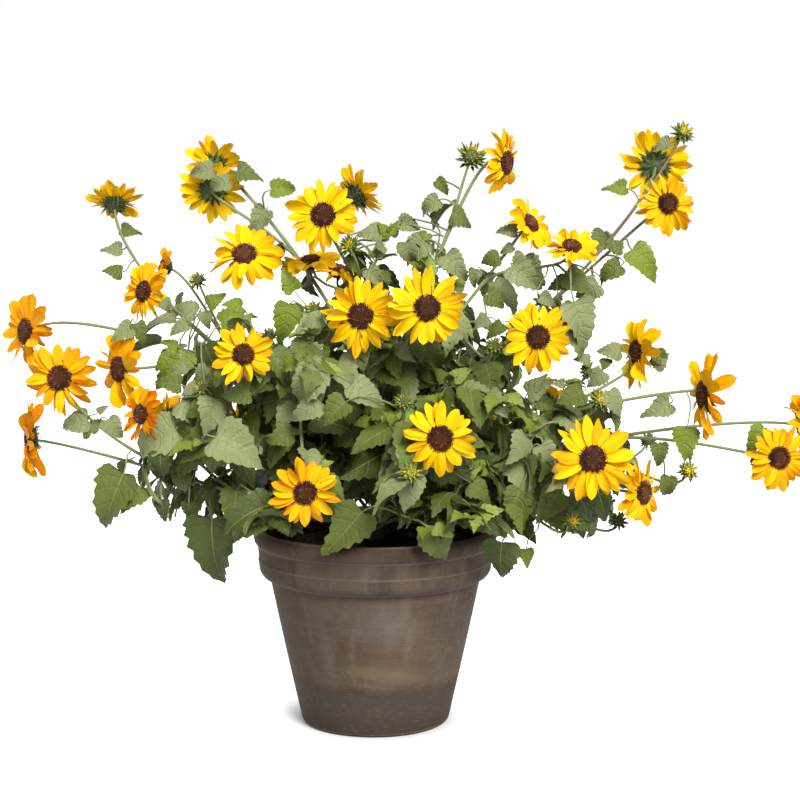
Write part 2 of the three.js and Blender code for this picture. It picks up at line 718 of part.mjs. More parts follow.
// A spray's stem is turned step by step about the plant until it clears the boughs.
function placeSpray(ring, number) {
  const node = `spray_${ring.name}_${number + 1}`;
  for (let attempt = 0; attempt < SPRAY_TRIES; attempt += 1) {
    const foot = onStem(ring.height + ring.climb * (number + attempt % 3));
    const side = attempt % 2 === 0 ? 1 : -1;
    const compass = ring.compass + (360 / ring.count) * number + side * SPRAY_TURN * Math.ceil(attempt / 2);
    const level = heading(compass, 0);
    const reach = ring.reach * (1 + ring.wide * Math.abs(level.x));
    const curve = new THREE.CubicBezierCurve3(
      foot,
      foot.clone().addScaledVector(level, 0.3 * reach).addScaledVector(UP, 0.5 * ring.rise + ring.bow),
      foot.clone().addScaledVector(level, 0.7 * reach).addScaledVector(UP, ring.rise + ring.bow),
      foot.clone().addScaledVector(level, reach).addScaledVector(UP, ring.rise),
    );
    const start = SPRAY_ROOT / curve.getLength();
    const boxes = boxesAlong(curve, start, 1, SPRAY_RADIUS + 2 * CLEARANCE, TWIG_RINGS);
    if (isFree(boxes, ['stem'])) {
      take(node, 'twig', boxes);
      return { node, curve };
    }
  }
  throw new Error(`no room for ${node}`);
}

const sprays = SPRAY_RINGS.flatMap((ring) => (
  Array.from({ length: ring.count }, (_, number) => placeSpray(ring, number))));

sprays.forEach(({ node, curve }, index) => {
  const whole = limb(curve, 0, 1, taper(SPRAY_RADIUS, NECK_RADIUS), TWIG_SIDES, TWIG_RINGS);
  const stem = whole.subtract(stemRoom);
  const leaves = growLeaves(node, curve, 0.2, 1, SPRAY_LEAF_STEP, 200 + index);
  addNode(node, joined([stem, ...leaves]), FINISHES.leaf);
});

for (const shoot of shoots) {
  const mass = `mass_${shoot.name}`;
  const bough = limb(
    shoot.spine, 0, BOUGH_SHARE, taper(BOUGH_RADIUS, BOUGH_TIP_RADIUS), BOUGH_SIDES, BOUGH_RINGS,
  );
  addNode(`bough_${shoot.name}`, bough.subtract(stemRoom), FINISHES.stem);

  const entry = BOUGH_SHARE + CLEARANCE / shoot.spine.getLength();
  const solids = [limb(shoot.spine, entry, 1, taper(BOUGH_TIP_RADIUS, NECK_RADIUS), TWIG_SIDES, TWIG_RINGS)];
  shoot.stalks.forEach((stalk) => {
    solids.push(limb(stalk, 0, 1, taper(STALK_RADIUS, NECK_RADIUS), TWIG_SIDES, STALK_RINGS));
  });
  shoot.ends.forEach((end, number) => {
    solids.push(end.kind === 'head' ? headSolid(end, 30 * number) : budSolid(end));
  });
  solids.push(...growLeaves(mass, shoot.spine, entry + 0.03, 0.9, LEAF_STEP, shoot.index));
  shoot.stalks.forEach((stalk, number) => {
    const seed = 30 + 5 * shoot.index + number;
    solids.push(...growLeaves(mass, stalk, 0.15, 0.8, LEAF_STEP, seed));
  });
  addNode(mass, joined(solids), FINISHES.head);
}

export default plant;
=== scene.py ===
"""The looks of a branching sunflower plant in a clay pot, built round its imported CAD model.

Places and sizes are in millimetres in the plant's own frame (-Y is the front, +X the right) and
turn into metres where a mesh is made. The plant grows by the same rule as its CAD source: a short
stem, one spine for each shoot, stalks off the spines to heads and buds, and leafy sprays between
them. Here the limbs carry finer side twigs, and each leaf and petal is a blade of its own, in one of
a few forms.
"""
import json
import math

import bpy
import numpy as np
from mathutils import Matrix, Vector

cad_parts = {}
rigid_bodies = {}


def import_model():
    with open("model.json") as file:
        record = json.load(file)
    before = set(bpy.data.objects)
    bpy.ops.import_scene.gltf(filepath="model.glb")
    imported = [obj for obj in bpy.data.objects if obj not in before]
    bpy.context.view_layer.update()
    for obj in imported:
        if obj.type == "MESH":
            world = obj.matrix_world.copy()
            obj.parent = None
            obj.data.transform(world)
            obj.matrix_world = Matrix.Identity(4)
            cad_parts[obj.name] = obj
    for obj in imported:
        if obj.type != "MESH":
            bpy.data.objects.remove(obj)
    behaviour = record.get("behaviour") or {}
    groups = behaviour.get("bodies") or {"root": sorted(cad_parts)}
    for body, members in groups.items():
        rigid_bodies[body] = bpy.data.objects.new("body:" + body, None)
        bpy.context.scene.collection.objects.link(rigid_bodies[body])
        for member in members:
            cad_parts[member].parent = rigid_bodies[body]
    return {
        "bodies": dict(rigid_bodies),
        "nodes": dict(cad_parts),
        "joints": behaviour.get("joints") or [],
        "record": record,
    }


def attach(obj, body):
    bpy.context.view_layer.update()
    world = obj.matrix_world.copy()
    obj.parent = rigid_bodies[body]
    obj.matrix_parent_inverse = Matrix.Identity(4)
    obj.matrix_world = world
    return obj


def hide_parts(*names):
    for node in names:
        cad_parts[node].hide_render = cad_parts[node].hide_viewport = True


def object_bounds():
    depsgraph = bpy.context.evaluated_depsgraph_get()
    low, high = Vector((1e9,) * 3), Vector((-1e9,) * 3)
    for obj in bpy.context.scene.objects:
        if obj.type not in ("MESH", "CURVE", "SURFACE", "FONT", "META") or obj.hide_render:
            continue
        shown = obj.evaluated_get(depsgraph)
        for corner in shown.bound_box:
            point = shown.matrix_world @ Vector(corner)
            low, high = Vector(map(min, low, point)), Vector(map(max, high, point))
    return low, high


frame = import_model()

cad_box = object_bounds()
MM = 0.001

# ---- Camera ---------------------------------------------------------------------------------

EYE = (28.5, -2126.0, 613.0)
EYE_PITCH = 83.5
LENS = 84.5

camera_data = bpy.data.cameras.new("camera")
camera_data.lens = LENS
camera = bpy.data.objects.new("camera", camera_data)
camera.location = [MM * value for value in EYE]
camera.rotation_euler = (math.radians(EYE_PITCH), 0, 0)
bpy.context.scene.collection.objects.link(camera)
bpy.context.scene.camera = camera

# ---- Sizes shared with the CAD source ---------------------------------------------------------

FOOT_RADIUS = 85
FOOT_CHAMFER = 3
BODY_TOP_RADIUS = 121
COLLAR_LOW = 168
COLLAR_RADIUS = 133
RIDGE_HEIGHT = 189
RIDGE_PROUD = 1.2
STEP_HEIGHT = 206
LIP_RADIUS = 140
RIM_HEIGHT = 226
RIM_INSIDE_RADIUS = 127
WALL = 11
FLOOR_THICKNESS = 14

SOIL_HEIGHT = 211
CLEARANCE = 0.3
STEM_HEIGHT = 405
STEM_LEAN = (8, -6)
STEM_FOOT_RADIUS = 10.5
STEM_RADIUS = 6.6
STEM_TIP_RADIUS = 3.6
FLARE_LENGTH = 0.16

FIRST_BOUGH_HEIGHT = 232
LAST_BOUGH_HEIGHT = 396
BOUGH_RADIUS = 3.3
BOUGH_TIP_RADIUS = 2.5
BOUGH_SHARE = 0.3
BOUGH_RINGS = 3
BOUGH_RISE = 0.34
STEEPEST = 1.1
TWIG_RINGS = 4
STALK_RINGS = 3
STALK_RADIUS = 2.1
NECK_RADIUS = 1.5
NECK_LENGTH = 34
STALK_BACKSTEP = 0.4
LAST_STALK = 0.86

DISC_SHARE = 0.18
DISC_CROWN = 6
CALYX_RADIUS = 12
CALYX_DEPTH = 9

GOLDEN_ANGLE = 137.5
LEAF_REACH = 420
SPRAY_RINGS = [
    {"name": "skirt", "count": 7, "height": 219, "climb": 2, "compass": 20, "reach": 126, "wide": 1.0,
     "rise": 34, "bow": 8},
    {"name": "waist", "count": 5, "height": 262, "climb": 6, "compass": 8, "reach": 120, "wide": 0.8,
     "rise": 48, "bow": 12},
    {"name": "heart", "count": 4, "height": 320, "climb": 8, "compass": 50, "reach": 104, "wide": 0.8,
     "rise": 66, "bow": 10},
]
SPRAY_RADIUS = 2.4
SPRAY_ROOT = 6
SPRAY_TURN = 7
SPRAY_TRIES = 20

# The shoots, in the source's order. Each head is its place, the compass of its face (0 front, 90
# right), the lift of its face, its width and how far its petals stand up (or hang, below 0).
# Each bud is its place and its width. The first head ends the shoot, and bow arches its stem.
SHOOTS = {
    "left_low": {"group": "left", "bow": -120,
        "heads": [[-342, -90, 405, -12, 10, 80, 0], [-398, 20, 322, -85, 0, 86, 0],
                  [-255, -74, 364, -44, 4, 62, 8]],
        "buds": []},
    "left_mid": {"group": "left", "bow": 80,
        "heads": [[-393, -10, 450, -50, 5, 84, 0], [-286, -30, 409, -52, 0, 82, 0]],
        "buds": []},
    "left_high": {"group": "left", "bow": -95,
        "heads": [[-309, 110, 593, 180, 52, 64, 20], [-263, 20, 493, -42, 10, 70, 0],
                  [-246, 70, 519, -78, 14, 46, 24]],
        "buds": [[-205, 40, 505, 12]]},
    "left_back": {"group": "left", "bow": 75,
        "heads": [[-197, 175, 637, 168, 14, 74, 5], [-195, 128, 609, 178, 10, 76, 0],
                  [-147, 0, 536, 0, 42, 82, 0]],
        "buds": []},
    "crown": {"group": "middle", "bow": 10,
        "heads": [[-22, 80, 603, 126, 34, 70, 20], [-57, -30, 581, 4, 10, 80, 0],
                  [-74, 30, 527, -25, 72, 66, 0], [-44, 92, 514, 35, 68, 60, 0]],
        "buds": [[-28, -6, 546, 14]]},
    "middle": {"group": "middle", "bow": 5,
        "heads": [[57, -135, 484, 6, 8, 83, 0], [-14, -112, 474, -2, 6, 82, 0]],
        "buds": [[-66, -70, 478, 12]]},
    "front_left": {"group": "middle", "bow": 20,
        "heads": [[-139, -130, 434, 15, 15, 68, 0], [-70, -190, 295, -6, 4, 72, 0]],
        "buds": [[-186, -92, 394, 12]]},
    "front": {"group": "middle", "bow": 20,
        "heads": [[70, -210, 355, 0, 2, 78, 0]],
        "buds": [[40, -232, 322, 14], [33, -150, 386, 12]]},
    "front_right": {"group": "right", "bow": 15,
        "heads": [[229, -190, 330, 6, 10, 86, 0], [292, -108, 282, 48, 4, 72, 0]],
        "buds": [[212, -146, 256, 13], [272, -66, 243, 12]]},
    "right_mid": {"group": "right", "bow": 45,
        "heads": [[367, -50, 382, -68, 0, 94, 0], [297, -8, 426, -60, 4, 78, 0]],
        "buds": [[249, -62, 378, 14], [238, -40, 408, 11]]},
    "right_far": {"group": "right", "bow": 50,
        "heads": [[492, 14, 340, 78, 12, 72, -12], [448, -66, 314, 12, 4, 72, 0]],
        "buds": [[343, -100, 304, 13]]},
    "right_high": {"group": "right", "bow": -22,
        "heads": [[176, 22, 570, 52, 30, 62, 8], [219, -32, 545, 10, 52, 60, 10],
                  [176, -118, 452, 5, 6, 75, 0]],
        "buds": [[132, -92, 440, 12]]},
    "top": {"group": "middle", "bow": 50,
        "heads": [[150, 60, 640, 60, -6, 78, -14]],
        "buds": [[112, 90, 647, 20]]},
    "top_right": {"group": "right", "bow": -80,
        "heads": [[331, 118, 638, 178, 4, 84, 0], [334, 30, 593, 14, 6, 69, 0]],
        "buds": [[362, 110, 676, 15]]},
    "back_left_high": {"group": "back", "bow": 15,
        "heads": [[-169, 228, 403, -158, 18, 72, 0], [-101, 292, 357, 176, 12, 72, 0]],
        "buds": [[-138, 250, 424, 13]]},
    "back_left_low": {"group": "back", "bow": 20,
        "heads": [[-262, 196, 322, -128, 6, 78, 0], [-172, 272, 306, -160, 4, 70, 0]],
        "buds": [[-232, 246, 348, 12]]},
    "back_mid_high": {"group": "back", "bow": 20,
        "heads": [[26, 262, 390, 180, 22, 76, 0], [64, 322, 455, 172, 24, 74, 0]],
        "buds": [[-34, 286, 452, 14]]},
    "back_mid_low": {"group": "back", "bow": 25,
        "heads": [[-35, 340, 289, -174, 4, 74, 0], [58, 296, 288, 164, 0, 70, 0]],
        "buds": [[-92, 306, 340, 12]]},
    "back_right_high": {"group": "back", "bow": 20,
        "heads": [[201, 236, 423, 152, 16, 76, 0], [211, 176, 348, 124, 10, 68, 0]],
        "buds": [[206, 226, 470, 13]]},
    "back_right_low": {"group": "back", "bow": 25,
        "heads": [[268, 196, 276, 130, 4, 78, 0], [150, 286, 296, 162, 8, 72, 0]],
        "buds": [[330, 136, 306, 12]]},
}
GROUPS = ("left", "middle", "right", "back", "core")

# ---- Finer sizes, for the looks alone ---------------------------------------------------------

# How far up its spine a shoot's own leaves go, where that is less than the most.
LEAFY = {"left_low": 0.6, "left_mid": 0.55, "left_high": 0.62, "left_back": 0.45, "top_right": 0.42,
         "right_far": 0.5, "top": 0.6, "right_mid": 0.62, "right_high": 0.6}
MOST_LEAFY = 0.93
# Leaves and side twigs: sizes and steps near the plant's middle and far out.
LEAF_NEAR = 72
LEAF_FAR = 36
LEAF_STEP_NEAR = 11
LEAF_STEP_FAR = 16
TWIG_STEP_NEAR = 25
TWIG_STEP_FAR = 80
TWIG_LENGTH = 78.0
TWIG_LEAF_SIZE = 0.8
TWIG_TUFT = 34
SPRAY_TWIG_LENGTH = 60.0
SPRAY_TUFT = 44
TUFT_LEAVES = 4
SPINE_LEAVES_FROM = 0.14
SPINE_TWIGS_FROM = 0.16
SPINE_TWIGS_SHARE = 0.77
STALK_LEAVES_FROM = 0.12
STALK_LEAVES_TO = 0.86
BARE_STALK_LEAVES_TO = 0.4
TWIG_RADII = (1.5, 0.8)
PETIOLE_SHARE = 0.36
PETIOLE_RISE = 0.28
PETIOLE_LEAN = 0.25
PETIOLE_RADII = (0.8, 1.25)
FULL_GROWN = 60
# Leaves face up, and by these shares outward and to the front.
FACE_OUT = 0.8
FACE_FRONT = 0.45
# Ranges in degrees and in shares of a leaf's length, for full leaves and for a tuft's young ones.
DROOPS = (4, 62)
ROLLS = (-60, 60)
LENGTHS = (0.6, 1.2)
YOUNG_DROOPS = (-35, 15)
YOUNG_ROLLS = (-30, 30)
YOUNG_LENGTHS = (0.5, 0.8)
# Where a leaf's light ends its tint and starts the next, and the share of leaves of an odd tint.
TINT_STEPS = (0.32, 0.62, 0.98)
ODD_TINTS = 0.12
# How far leaves may pass the CAD model's box.
SIZE_SLACK = 20

# Forms: how finely each is divided, and how many there are.
LEAF_ROWS = 17
LEAF_COLUMNS = 5
LEAF_FIRST = 0.035
LEAF_FORMS = 14
LEAF_SEED = 700
EDGE_LEAF_SEED = 900
VEIN_EVERY = 3
RIB_ROWS = 8
PETAL_ROWS = 8
PETAL_COLUMNS = 7
PETAL_FORMS = 9
PETAL_SEED = 900
PETALS_LEAST = 11
PETALS_MORE = 3
BRACT_ROWS = 5
LIMB_STEP = 11
SKIN_REPEAT = 40
FULL_TURN = 6.3
TINY = 1e-6

# Heads: where the petals start on the disc, the florets, and the petals' tones by place.
PETAL_ROOT = 0.78
PETAL_WIDTH = 0.29
FLORETS = 210
BUD_FLORETS = 40
FLORET_TURN = 137.508
FLORET_SUNK = 1.2
FLORET_TOP = 0.55
BUD_LEAN = 1.5
LEFT_TONE = 2.4
RIGHT_TONE = 1.5
LOW_LEFT_TONE = 1.6
TONE_REACH = 420
# The heads on the right that look left are seen this much further round, in degrees.
SIDE_TURN = 10
SIDE_TURN_FROM = 200
# Heads left of, in front of and below this are deepest in tone.
LOW_LEFT = (-50, -60, 370)
# Leaves keep this far clear in front of a face, and across it by shares of its half width.
VIEW_DEPTH = 110
FACE_SHARE = 0.92
SIGHT_SHARE = 0.86
BUD_VIEW = 9.0
FLORET_BUD = 6.4

# The pot and the soil.
POT_SIDES = 128
POT_STEP = 2.0
POT_WAVER = 0.35
SOIL_RINGS = 40
SOIL_SIDES = 120
SOIL_CRUMBS = 420
STEM_RINGS = 48
KNOT_SWELL = 0.07
KNOT_TURNS = 46

# The studio, in metres: the floor, the ring of soft shadow on it, and how bright it and the world are.
FLOOR_HALF = 14.0
SHADOW_INNER = 0.07
SHADOW_OUTER = 0.14
FLOOR_GLOW = 0.82
WORLD_SHARE = 0.43
# Keeps the edges of coarse curved faces out of their own shadow.
SHADOW_OFFSET = 0.3

# ---- Directions and curves --------------------------------------------------------------------

UP = np.array((0.0, 0.0, 1.0))
FRONT = np.array((0.0, -1.0, 0.0))


def dice(*keys):
    """A repeatable number from 0 to 1 for a list of whole numbers, the same as the source's."""
    state = 2166136261
    for key in (*keys, 7, 11):
        state = ((state ^ (key & 0xFFFF)) * 16777619) & 0xFFFFFFFF
        state ^= state >> 13
    return state / 4294967296


def spread(low, high, *keys):
    """A repeatable number between two values."""
    return low + (high - low) * dice(*keys)


def unit(vector):
    return vector / np.linalg.norm(vector)


def between(low, high, share):
    return low + (high - low) * share


def heading(compass, lift=0.0):
    turn, tilt = math.radians(compass), math.radians(lift)
    level = math.cos(tilt)
    return np.array((math.sin(turn) * level, -math.cos(turn) * level, math.sin(tilt)))


def basis(along, near):
    """Three directions as columns: Y along one direction and Z as near another as it can be."""
    y = unit(along)
    x = unit(np.cross(y, near))
    return np.column_stack((x, y, np.cross(x, y)))


def steady(direction, limit=0.9):
    """A direction to measure a turn from: up, or the front where the one given is near upright."""
    return UP if abs(direction[2]) < limit else FRONT


def turned_about(vector, axis, degrees):
    angle = math.radians(degrees)
    axis = unit(axis)
    across = np.cross(axis, vector)
    return (vector * math.cos(angle) + across * math.sin(angle)
            + axis * np.dot(axis, vector) * (1 - math.cos(angle)))


def outward_from(point):
    """The level direction from the plant's upright axis to a point."""
    return unit(np.array((point[0], point[1], 0.0)) + TINY)


def reach_of(point):
    """How far out a point is, from 0 at the plant's middle to 1."""
    return min(1.0, float(np.linalg.norm(point - UP * SOIL_HEIGHT)) / LEAF_REACH)


def bent(x, y, z, bend, twist=0.0, sway=0.0):
    """A flat form's points, Y along it and Z up from it, twisted, swayed and bent down."""
    turn = twist * y
    x, z = x * np.cos(turn) - z * np.sin(turn), x * np.sin(turn) + z * np.cos(turn)
    angle = bend * y
    along = np.sin(angle) / bend + z * np.sin(angle)
    above = z * np.cos(angle) - (1 - np.cos(angle)) / bend
    return np.column_stack((x + sway * y * y, along, above))


def place_points(points, frame, origin, scale=1.0):
    return origin + (points * scale) @ frame.T


class Curve:
    """A cubic Bezier curve."""

    def __init__(self, *corners):
        self.corners = np.array(corners, float)
        self.length = np.linalg.norm(np.diff(self.point(np.linspace(0, 1, 60)), axis=0), axis=1).sum()

    def point(self, place):
        t = np.asarray(place, float)[..., None]
        a, b, c, d = self.corners
        return (1 - t) ** 3 * a + 3 * (1 - t) ** 2 * t * b + 3 * (1 - t) * t * t * c + t ** 3 * d

    def tangent(self, place):
        t = np.asarray(place, float)[..., None]
        a, b, c, d = self.corners
        slope = (1 - t) ** 2 * (b - a) + 2 * (1 - t) * t * (c - b) + t * t * (d - c)
        return slope / np.linalg.norm(slope, axis=-1, keepdims=True)

    def bend_axis(self):
        """The direction square to the plane that the curve bends in."""
        chord = self.point(1) - self.point(0)
        axis = np.cross(chord, self.point(0.5) - self.point(0))
        if np.linalg.norm(axis) < 1:
            axis = np.cross(chord, (0.6, 0.8, 0.1))
        return unit(axis)


# ---- Meshes -----------------------------------------------------------------------------------


class Batch:
    """The points and faces of many small things that end up in one mesh."""

    def __init__(self):
        self.points, self.uvs, self.faces, self.slots = [], [], [], []
        self.count = 0

    def add(self, points, faces, slot, uvs):
        for group in faces:
            self.faces.append(group + self.count)
            self.slots.append(np.full(len(group), slot))
        self.points.append(points)
        self.uvs.append(uvs)
        self.count += len(points)

    def build(self, name, materials, slot_name, replaced=()):
        points = np.concatenate(self.points) * MM
        loops = np.concatenate([group.ravel() for group in self.faces]).astype(np.int32)
        sizes = np.concatenate([np.full(len(group), group.shape[1]) for group in self.faces])
        starts = np.concatenate(([0], np.cumsum(sizes)[:-1])).astype(np.int32)
        mesh = bpy.data.meshes.new(name)
        mesh.vertices.add(len(points))
        mesh.vertices.foreach_set("co", points.ravel().astype(np.float32))
        mesh.loops.add(len(loops))
        mesh.loops.foreach_set("vertex_index", loops)
        mesh.polygons.add(len(sizes))
        mesh.polygons.foreach_set("loop_start", starts)
        mesh.polygons.foreach_set("material_index", np.concatenate(self.slots).astype(np.int32))
        mesh.polygons.foreach_set("use_smooth", np.full(len(sizes), True))
        mesh.update(calc_edges=True)
        layer = mesh.uv_layers.new(name="UVMap")
        layer.data.foreach_set("uv", np.concatenate(self.uvs)[loops].ravel().astype(np.float32))
        for material in materials:
            mesh.materials.append(material)
        piece = bpy.data.objects.new(name, mesh)
        bpy.context.scene.collection.objects.link(piece)
        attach(piece, "root")
        if replaced:
            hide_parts(*replaced)
        piece.shadow_terminator_geometry_offset = SHADOW_OFFSET
        print(f"{name}: {int((sizes - 2).sum())} triangles")


def grid_faces(rows, columns, wraps=False, reverse=False):
    """The quads of a grid of points, laid row by row."""
    wide = columns if wraps else columns - 1
    i, j = np.meshgrid(np.arange(rows - 1), np.arange(wide), indexing="ij")
    i, j = i.ravel(), j.ravel()
    k = (j + 1) % columns
    quads = np.column_stack((i * columns + j, i * columns + k, (i + 1) * columns + k, (i + 1) * columns + j))
    return quads[:, ::-1] if reverse else quads


def fan_faces(first, count, tip, wraps=False):
    """Triangles from a row of points to one point."""
    j = np.arange(count if wraps else count - 1)
    return np.column_stack((first + j, first + (j + 1) % count, np.full(len(j), tip)))


def closed_faces(rows, columns, wraps=False):
    """The faces of a grid of points that ends in one more point, its tip."""
    last = (rows - 1) * columns
    return [grid_faces(rows, columns, wraps), fan_faces(last, columns, rows * columns, wraps)]


def tube(batch, points, radii, sides, slot, relief=0.0, phase=0.0):
    """A limb along a line of points, with ridges along it, closed at its end."""
    along = np.gradient(points, axis=0)
    along /= np.linalg.norm(along, axis=1, keepdims=True)
    side = np.cross(along[0], steady(along[0]))
    angles = np.arange(sides) * (2 * math.pi / sides)
    ridges = 1 + relief * np.cos(angles * (sides // 2) + phase)
    rings = []
    for place, axis, radius in zip(points, along, radii):
        side = unit(side - axis * np.dot(side, axis))
        other = np.cross(axis, side)
        ring = np.outer(np.cos(angles), side) + np.outer(np.sin(angles), other)
        rings.append(place + ring * (ridges * radius)[:, None])
    tip = points[-1] + along[-1] * radii[-1] * 0.5
    runs = np.concatenate(([0], np.cumsum(np.linalg.norm(np.diff(points, axis=0), axis=1)))) / SKIN_REPEAT
    uvs = [(j / sides, run) for run in runs for j in range(sides)]
    uvs.append((0.5, runs[-1]))
    batch.add(np.vstack((*rings, tip)), closed_faces(len(points), sides, wraps=True), slot, np.array(uvs))


# ---- Materials --------------------------------------------------------------------------------


def srgb(red, green, blue):
    """A colour as seen, from 0 to 255, as Blender's linear one."""
    def linear(value):
        value /= 255
        return value / 12.92 if value <= 0.04045 else ((value + 0.055) / 1.055) ** 2.4
    return (linear(red), linear(green), linear(blue), 1.0)


class Finish:
    """A material with one Principled shader, and short ways to add nodes to it."""

    def __init__(self, name, colour, roughness, specular):
        self.material = bpy.data.materials.new(name)
        self.material.use_nodes = True
        self.nodes = self.material.node_tree.nodes
        self.links = self.material.node_tree.links
        self.shader = self.nodes["Principled BSDF"]
        self.set("Base Color", colour)
        self.set("Roughness", roughness)
        self.set("Specular IOR Level", specular)
        self.material.diffuse_color = colour

    def feed(self, socket, value):
        """Gives a socket a value, or a link where the value is another socket."""
        if isinstance(value, bpy.types.NodeSocket):
            self.links.new(value, socket)
        else:
            socket.default_value = value

    def set(self, name, value):
        self.feed(self.shader.inputs[name], value)

    def node(self, kind, output=0, settings=None, **inputs):
        """A new node's output. Its inputs are given by name, or by number as i0, i1 and so on."""
        made = self.nodes.new("ShaderNode" + kind)
        for key, value in (settings or {}).items():
            setattr(made, key, value)
        for key, value in inputs.items():
            self.feed(made.inputs[int(key[1:]) if key[1:].isdigit() else key], value)
        return made.outputs[output]

    def math(self, operation, first, second=0.0):
        return self.node("Math", settings={"operation": operation}, i0=first, i1=second)

    def plus(self, first, second):
        return self.math("ADD", first, second)

    def minus(self, first, second):
        return self.math("SUBTRACT", first, second)

    def times(self, first, second):
        return self.math("MULTIPLY", first, second)

    def mix(self, share, first, second):
        return self.node("Mix", 2, {"data_type": "RGBA"}, i0=share, i6=first, i7=second)

    def coords(self, name="Object"):
        return self.nodes.new("ShaderNodeTexCoord").outputs[name]

    def parts(self, vector):
        """A vector's X, Y and Z."""
        made = self.nodes.new("ShaderNodeSeparateXYZ")
        self.links.new(vector, made.inputs[0])
        return made.outputs

    def noise(self, vector, scale, detail=3.0, roughness=0.5, distortion=0.0):
        return self.node("TexNoise", Vector=vector, Scale=scale, Detail=detail,
                         Roughness=roughness, Distortion=distortion)

    def stretched(self, vector, scale):
        return self.node("Mapping", Vector=vector, Scale=scale)

    def ramp(self, value, low, high, to_low=0.0, to_high=1.0):
        return self.node("MapRange", settings={"interpolation_type": "SMOOTHSTEP"},
                         i0=value, i1=low, i2=high, i3=to_low, i4=to_high)

    def bump(self, height, distance, strength=1.0, normal=None):
        inputs = {"Height": height, "Distance": distance, "Strength": strength}
        if normal is not None:
            inputs["Normal"] = normal
        return self.node("Bump", **inputs)


def leaf_finish(name, tone, specular=0.3):
    """A leaf's skin: side veins across it, a fine net between them, and soft dimples."""
    finish = Finish(name, srgb(*tone), 0.5, specular)
    uv = finish.coords("UV")
    row = finish.times(finish.minus(finish.parts(uv)[1], LEAF_FIRST), LEAF_ROWS / (1 - LEAF_FIRST))
    swing = finish.math("SINE", finish.times(row, math.pi / VEIN_EVERY))
    vein = finish.ramp(finish.math("ABSOLUTE", swing), 0.0, 0.45)
    cells = finish.node("TexVoronoi", settings={"feature": "DISTANCE_TO_EDGE"}, Vector=uv, Scale=13.0)
    veined = finish.bump(vein, 0.0006, 0.8)
    netted = finish.bump(finish.ramp(cells, 0.0, 0.2), 0.0005, 0.6, veined)
    dimples = finish.noise(finish.coords(), 140.0, 3.0, 0.6)
    finish.set("Normal", finish.bump(dimples, 0.0016, 0.8, netted))
    finish.set("Roughness", finish.ramp(finish.noise(finish.coords(), 70.0), 0.3, 0.7, 0.38, 0.62))
    return finish.material


def plant_finish(name, tone, roughness=0.6, grain=500.0, depth=0.0004, sheen=0.12):
    """The skin of a stem, a rib, a bract or a floret: fine lines along it and a sheen of short hairs."""
    finish = Finish(name, srgb(*tone), roughness, 0.3)
    lines = finish.noise(finish.stretched(finish.coords("UV"), (24.0, 3.0, 1.0)), 3.0, 3.0)
    rough = finish.bump(finish.noise(finish.coords(), grain, 2.0), depth, 0.5)
    finish.set("Normal", finish.bump(lines, depth, 0.8, rough))
    wear_and_highlight = finish.noise(finish.coords(), 90.0)
    finish.set("Roughness", finish.ramp(wear_and_highlight, 0.3, 0.7, roughness - 0.1, roughness + 0.1))
    finish.set("Sheen Weight", sheen)
    finish.set("Sheen Roughness", 0.4)
    return finish.material


def petal_finish(name, tone):
    """A ray petal: fine grooves, a satin skin and a faint painted glow that stands in for the light that it
    lets through.
    """
    finish = Finish(name, srgb(*tone), 0.55, 0.1)
    # Painted glow: the petal's own colour lit from within, in place of light passing through it.
    finish.set("Emission Color", srgb(*tone))
    finish.set("Emission Strength", 0.16)
    grooves = finish.noise(finish.stretched(finish.coords("UV"), (22.0, 1.2, 1.0)), 1.6, 2.0)
    finish.set("Normal", finish.bump(grooves, 0.0006, 0.7))
    finish.set("Roughness", finish.ramp(grooves, 0.3, 0.7, 0.46, 0.62))
    return finish.material


# leaf_deep and leaf_grey are also painted shade and painted sheen, where leaf_tint deals them out by light.
LEAF_TONES = {
    "leaf_deep": (62, 74, 22),
    "leaf_mid": (90, 102, 38),
    "leaf_grey": (125, 132, 86),
    "leaf_fresh": (112, 128, 36),
    "leaf_young": (132, 148, 64),
}
LEAF_FINISHES = [leaf_finish(name, tone) for name, tone in LEAF_TONES.items()]
LEAF_FINISHES.append(leaf_finish("leaf_underside", (123, 134, 80), 0.2))
LEAF_FINISHES.append(plant_finish("leaf_rib", (122, 136, 76)))
DEEP, MID, GREY, FRESH, YOUNG, UNDERSIDE, RIB = range(7)

STEM_FINISHES = [
    plant_finish("stem_green", (130, 142, 86)),
    plant_finish("stem_olive", (124, 128, 80)),
    plant_finish("stem_brown", (118, 110, 72)),
    plant_finish("stem_woody", (92, 80, 54), 0.72, 300.0, 0.001, 0.1),
]
GREEN, OLIVE, BROWN, WOODY = range(4)

# From the palest, as a head's tone counts them.
PETAL_TONES = {
    "petal_lemon": (228, 182, 2),
    "petal_yellow": (228, 171, 2),
    "petal_gold": (227, 155, 2),
    "petal_amber": (224, 139, 2),
    "petal_deep": (216, 123, 2),
}
HEAD_FINISHES = [petal_finish(name, tone) for name, tone in PETAL_TONES.items()]

DISC_FINISHES = [
    plant_finish("floret_dark", (58, 24, 10), 0.6, 800.0, 0.0003, 0.02),
    plant_finish("floret_maroon", (94, 42, 15), 0.6, 800.0, 0.0003, 0.02),
    plant_finish("floret_pollen", (156, 84, 24), 0.7, 800.0, 0.0003, 0.05),
    plant_finish("floret_centre", (92, 62, 30), 0.7, 800.0, 0.0003, 0.05),
    plant_finish("bract_green", (66, 82, 44), 0.62, 500.0, 0.0004, 0.08),
    plant_finish("bud_bract", (112, 130, 64), 0.62, 500.0, 0.0004, 0.08),
    plant_finish("bud_green", (126, 142, 44), 0.6, 500.0, 0.0003, 0.1),
    plant_finish("bud_yellow", (216, 184, 34), 0.6, 500.0, 0.0003, 0.1),
]
DARK, MAROON, POLLEN, CENTRE, BRACT, BUD_BRACT, BUD_GREEN, BUD_YELLOW = range(8)


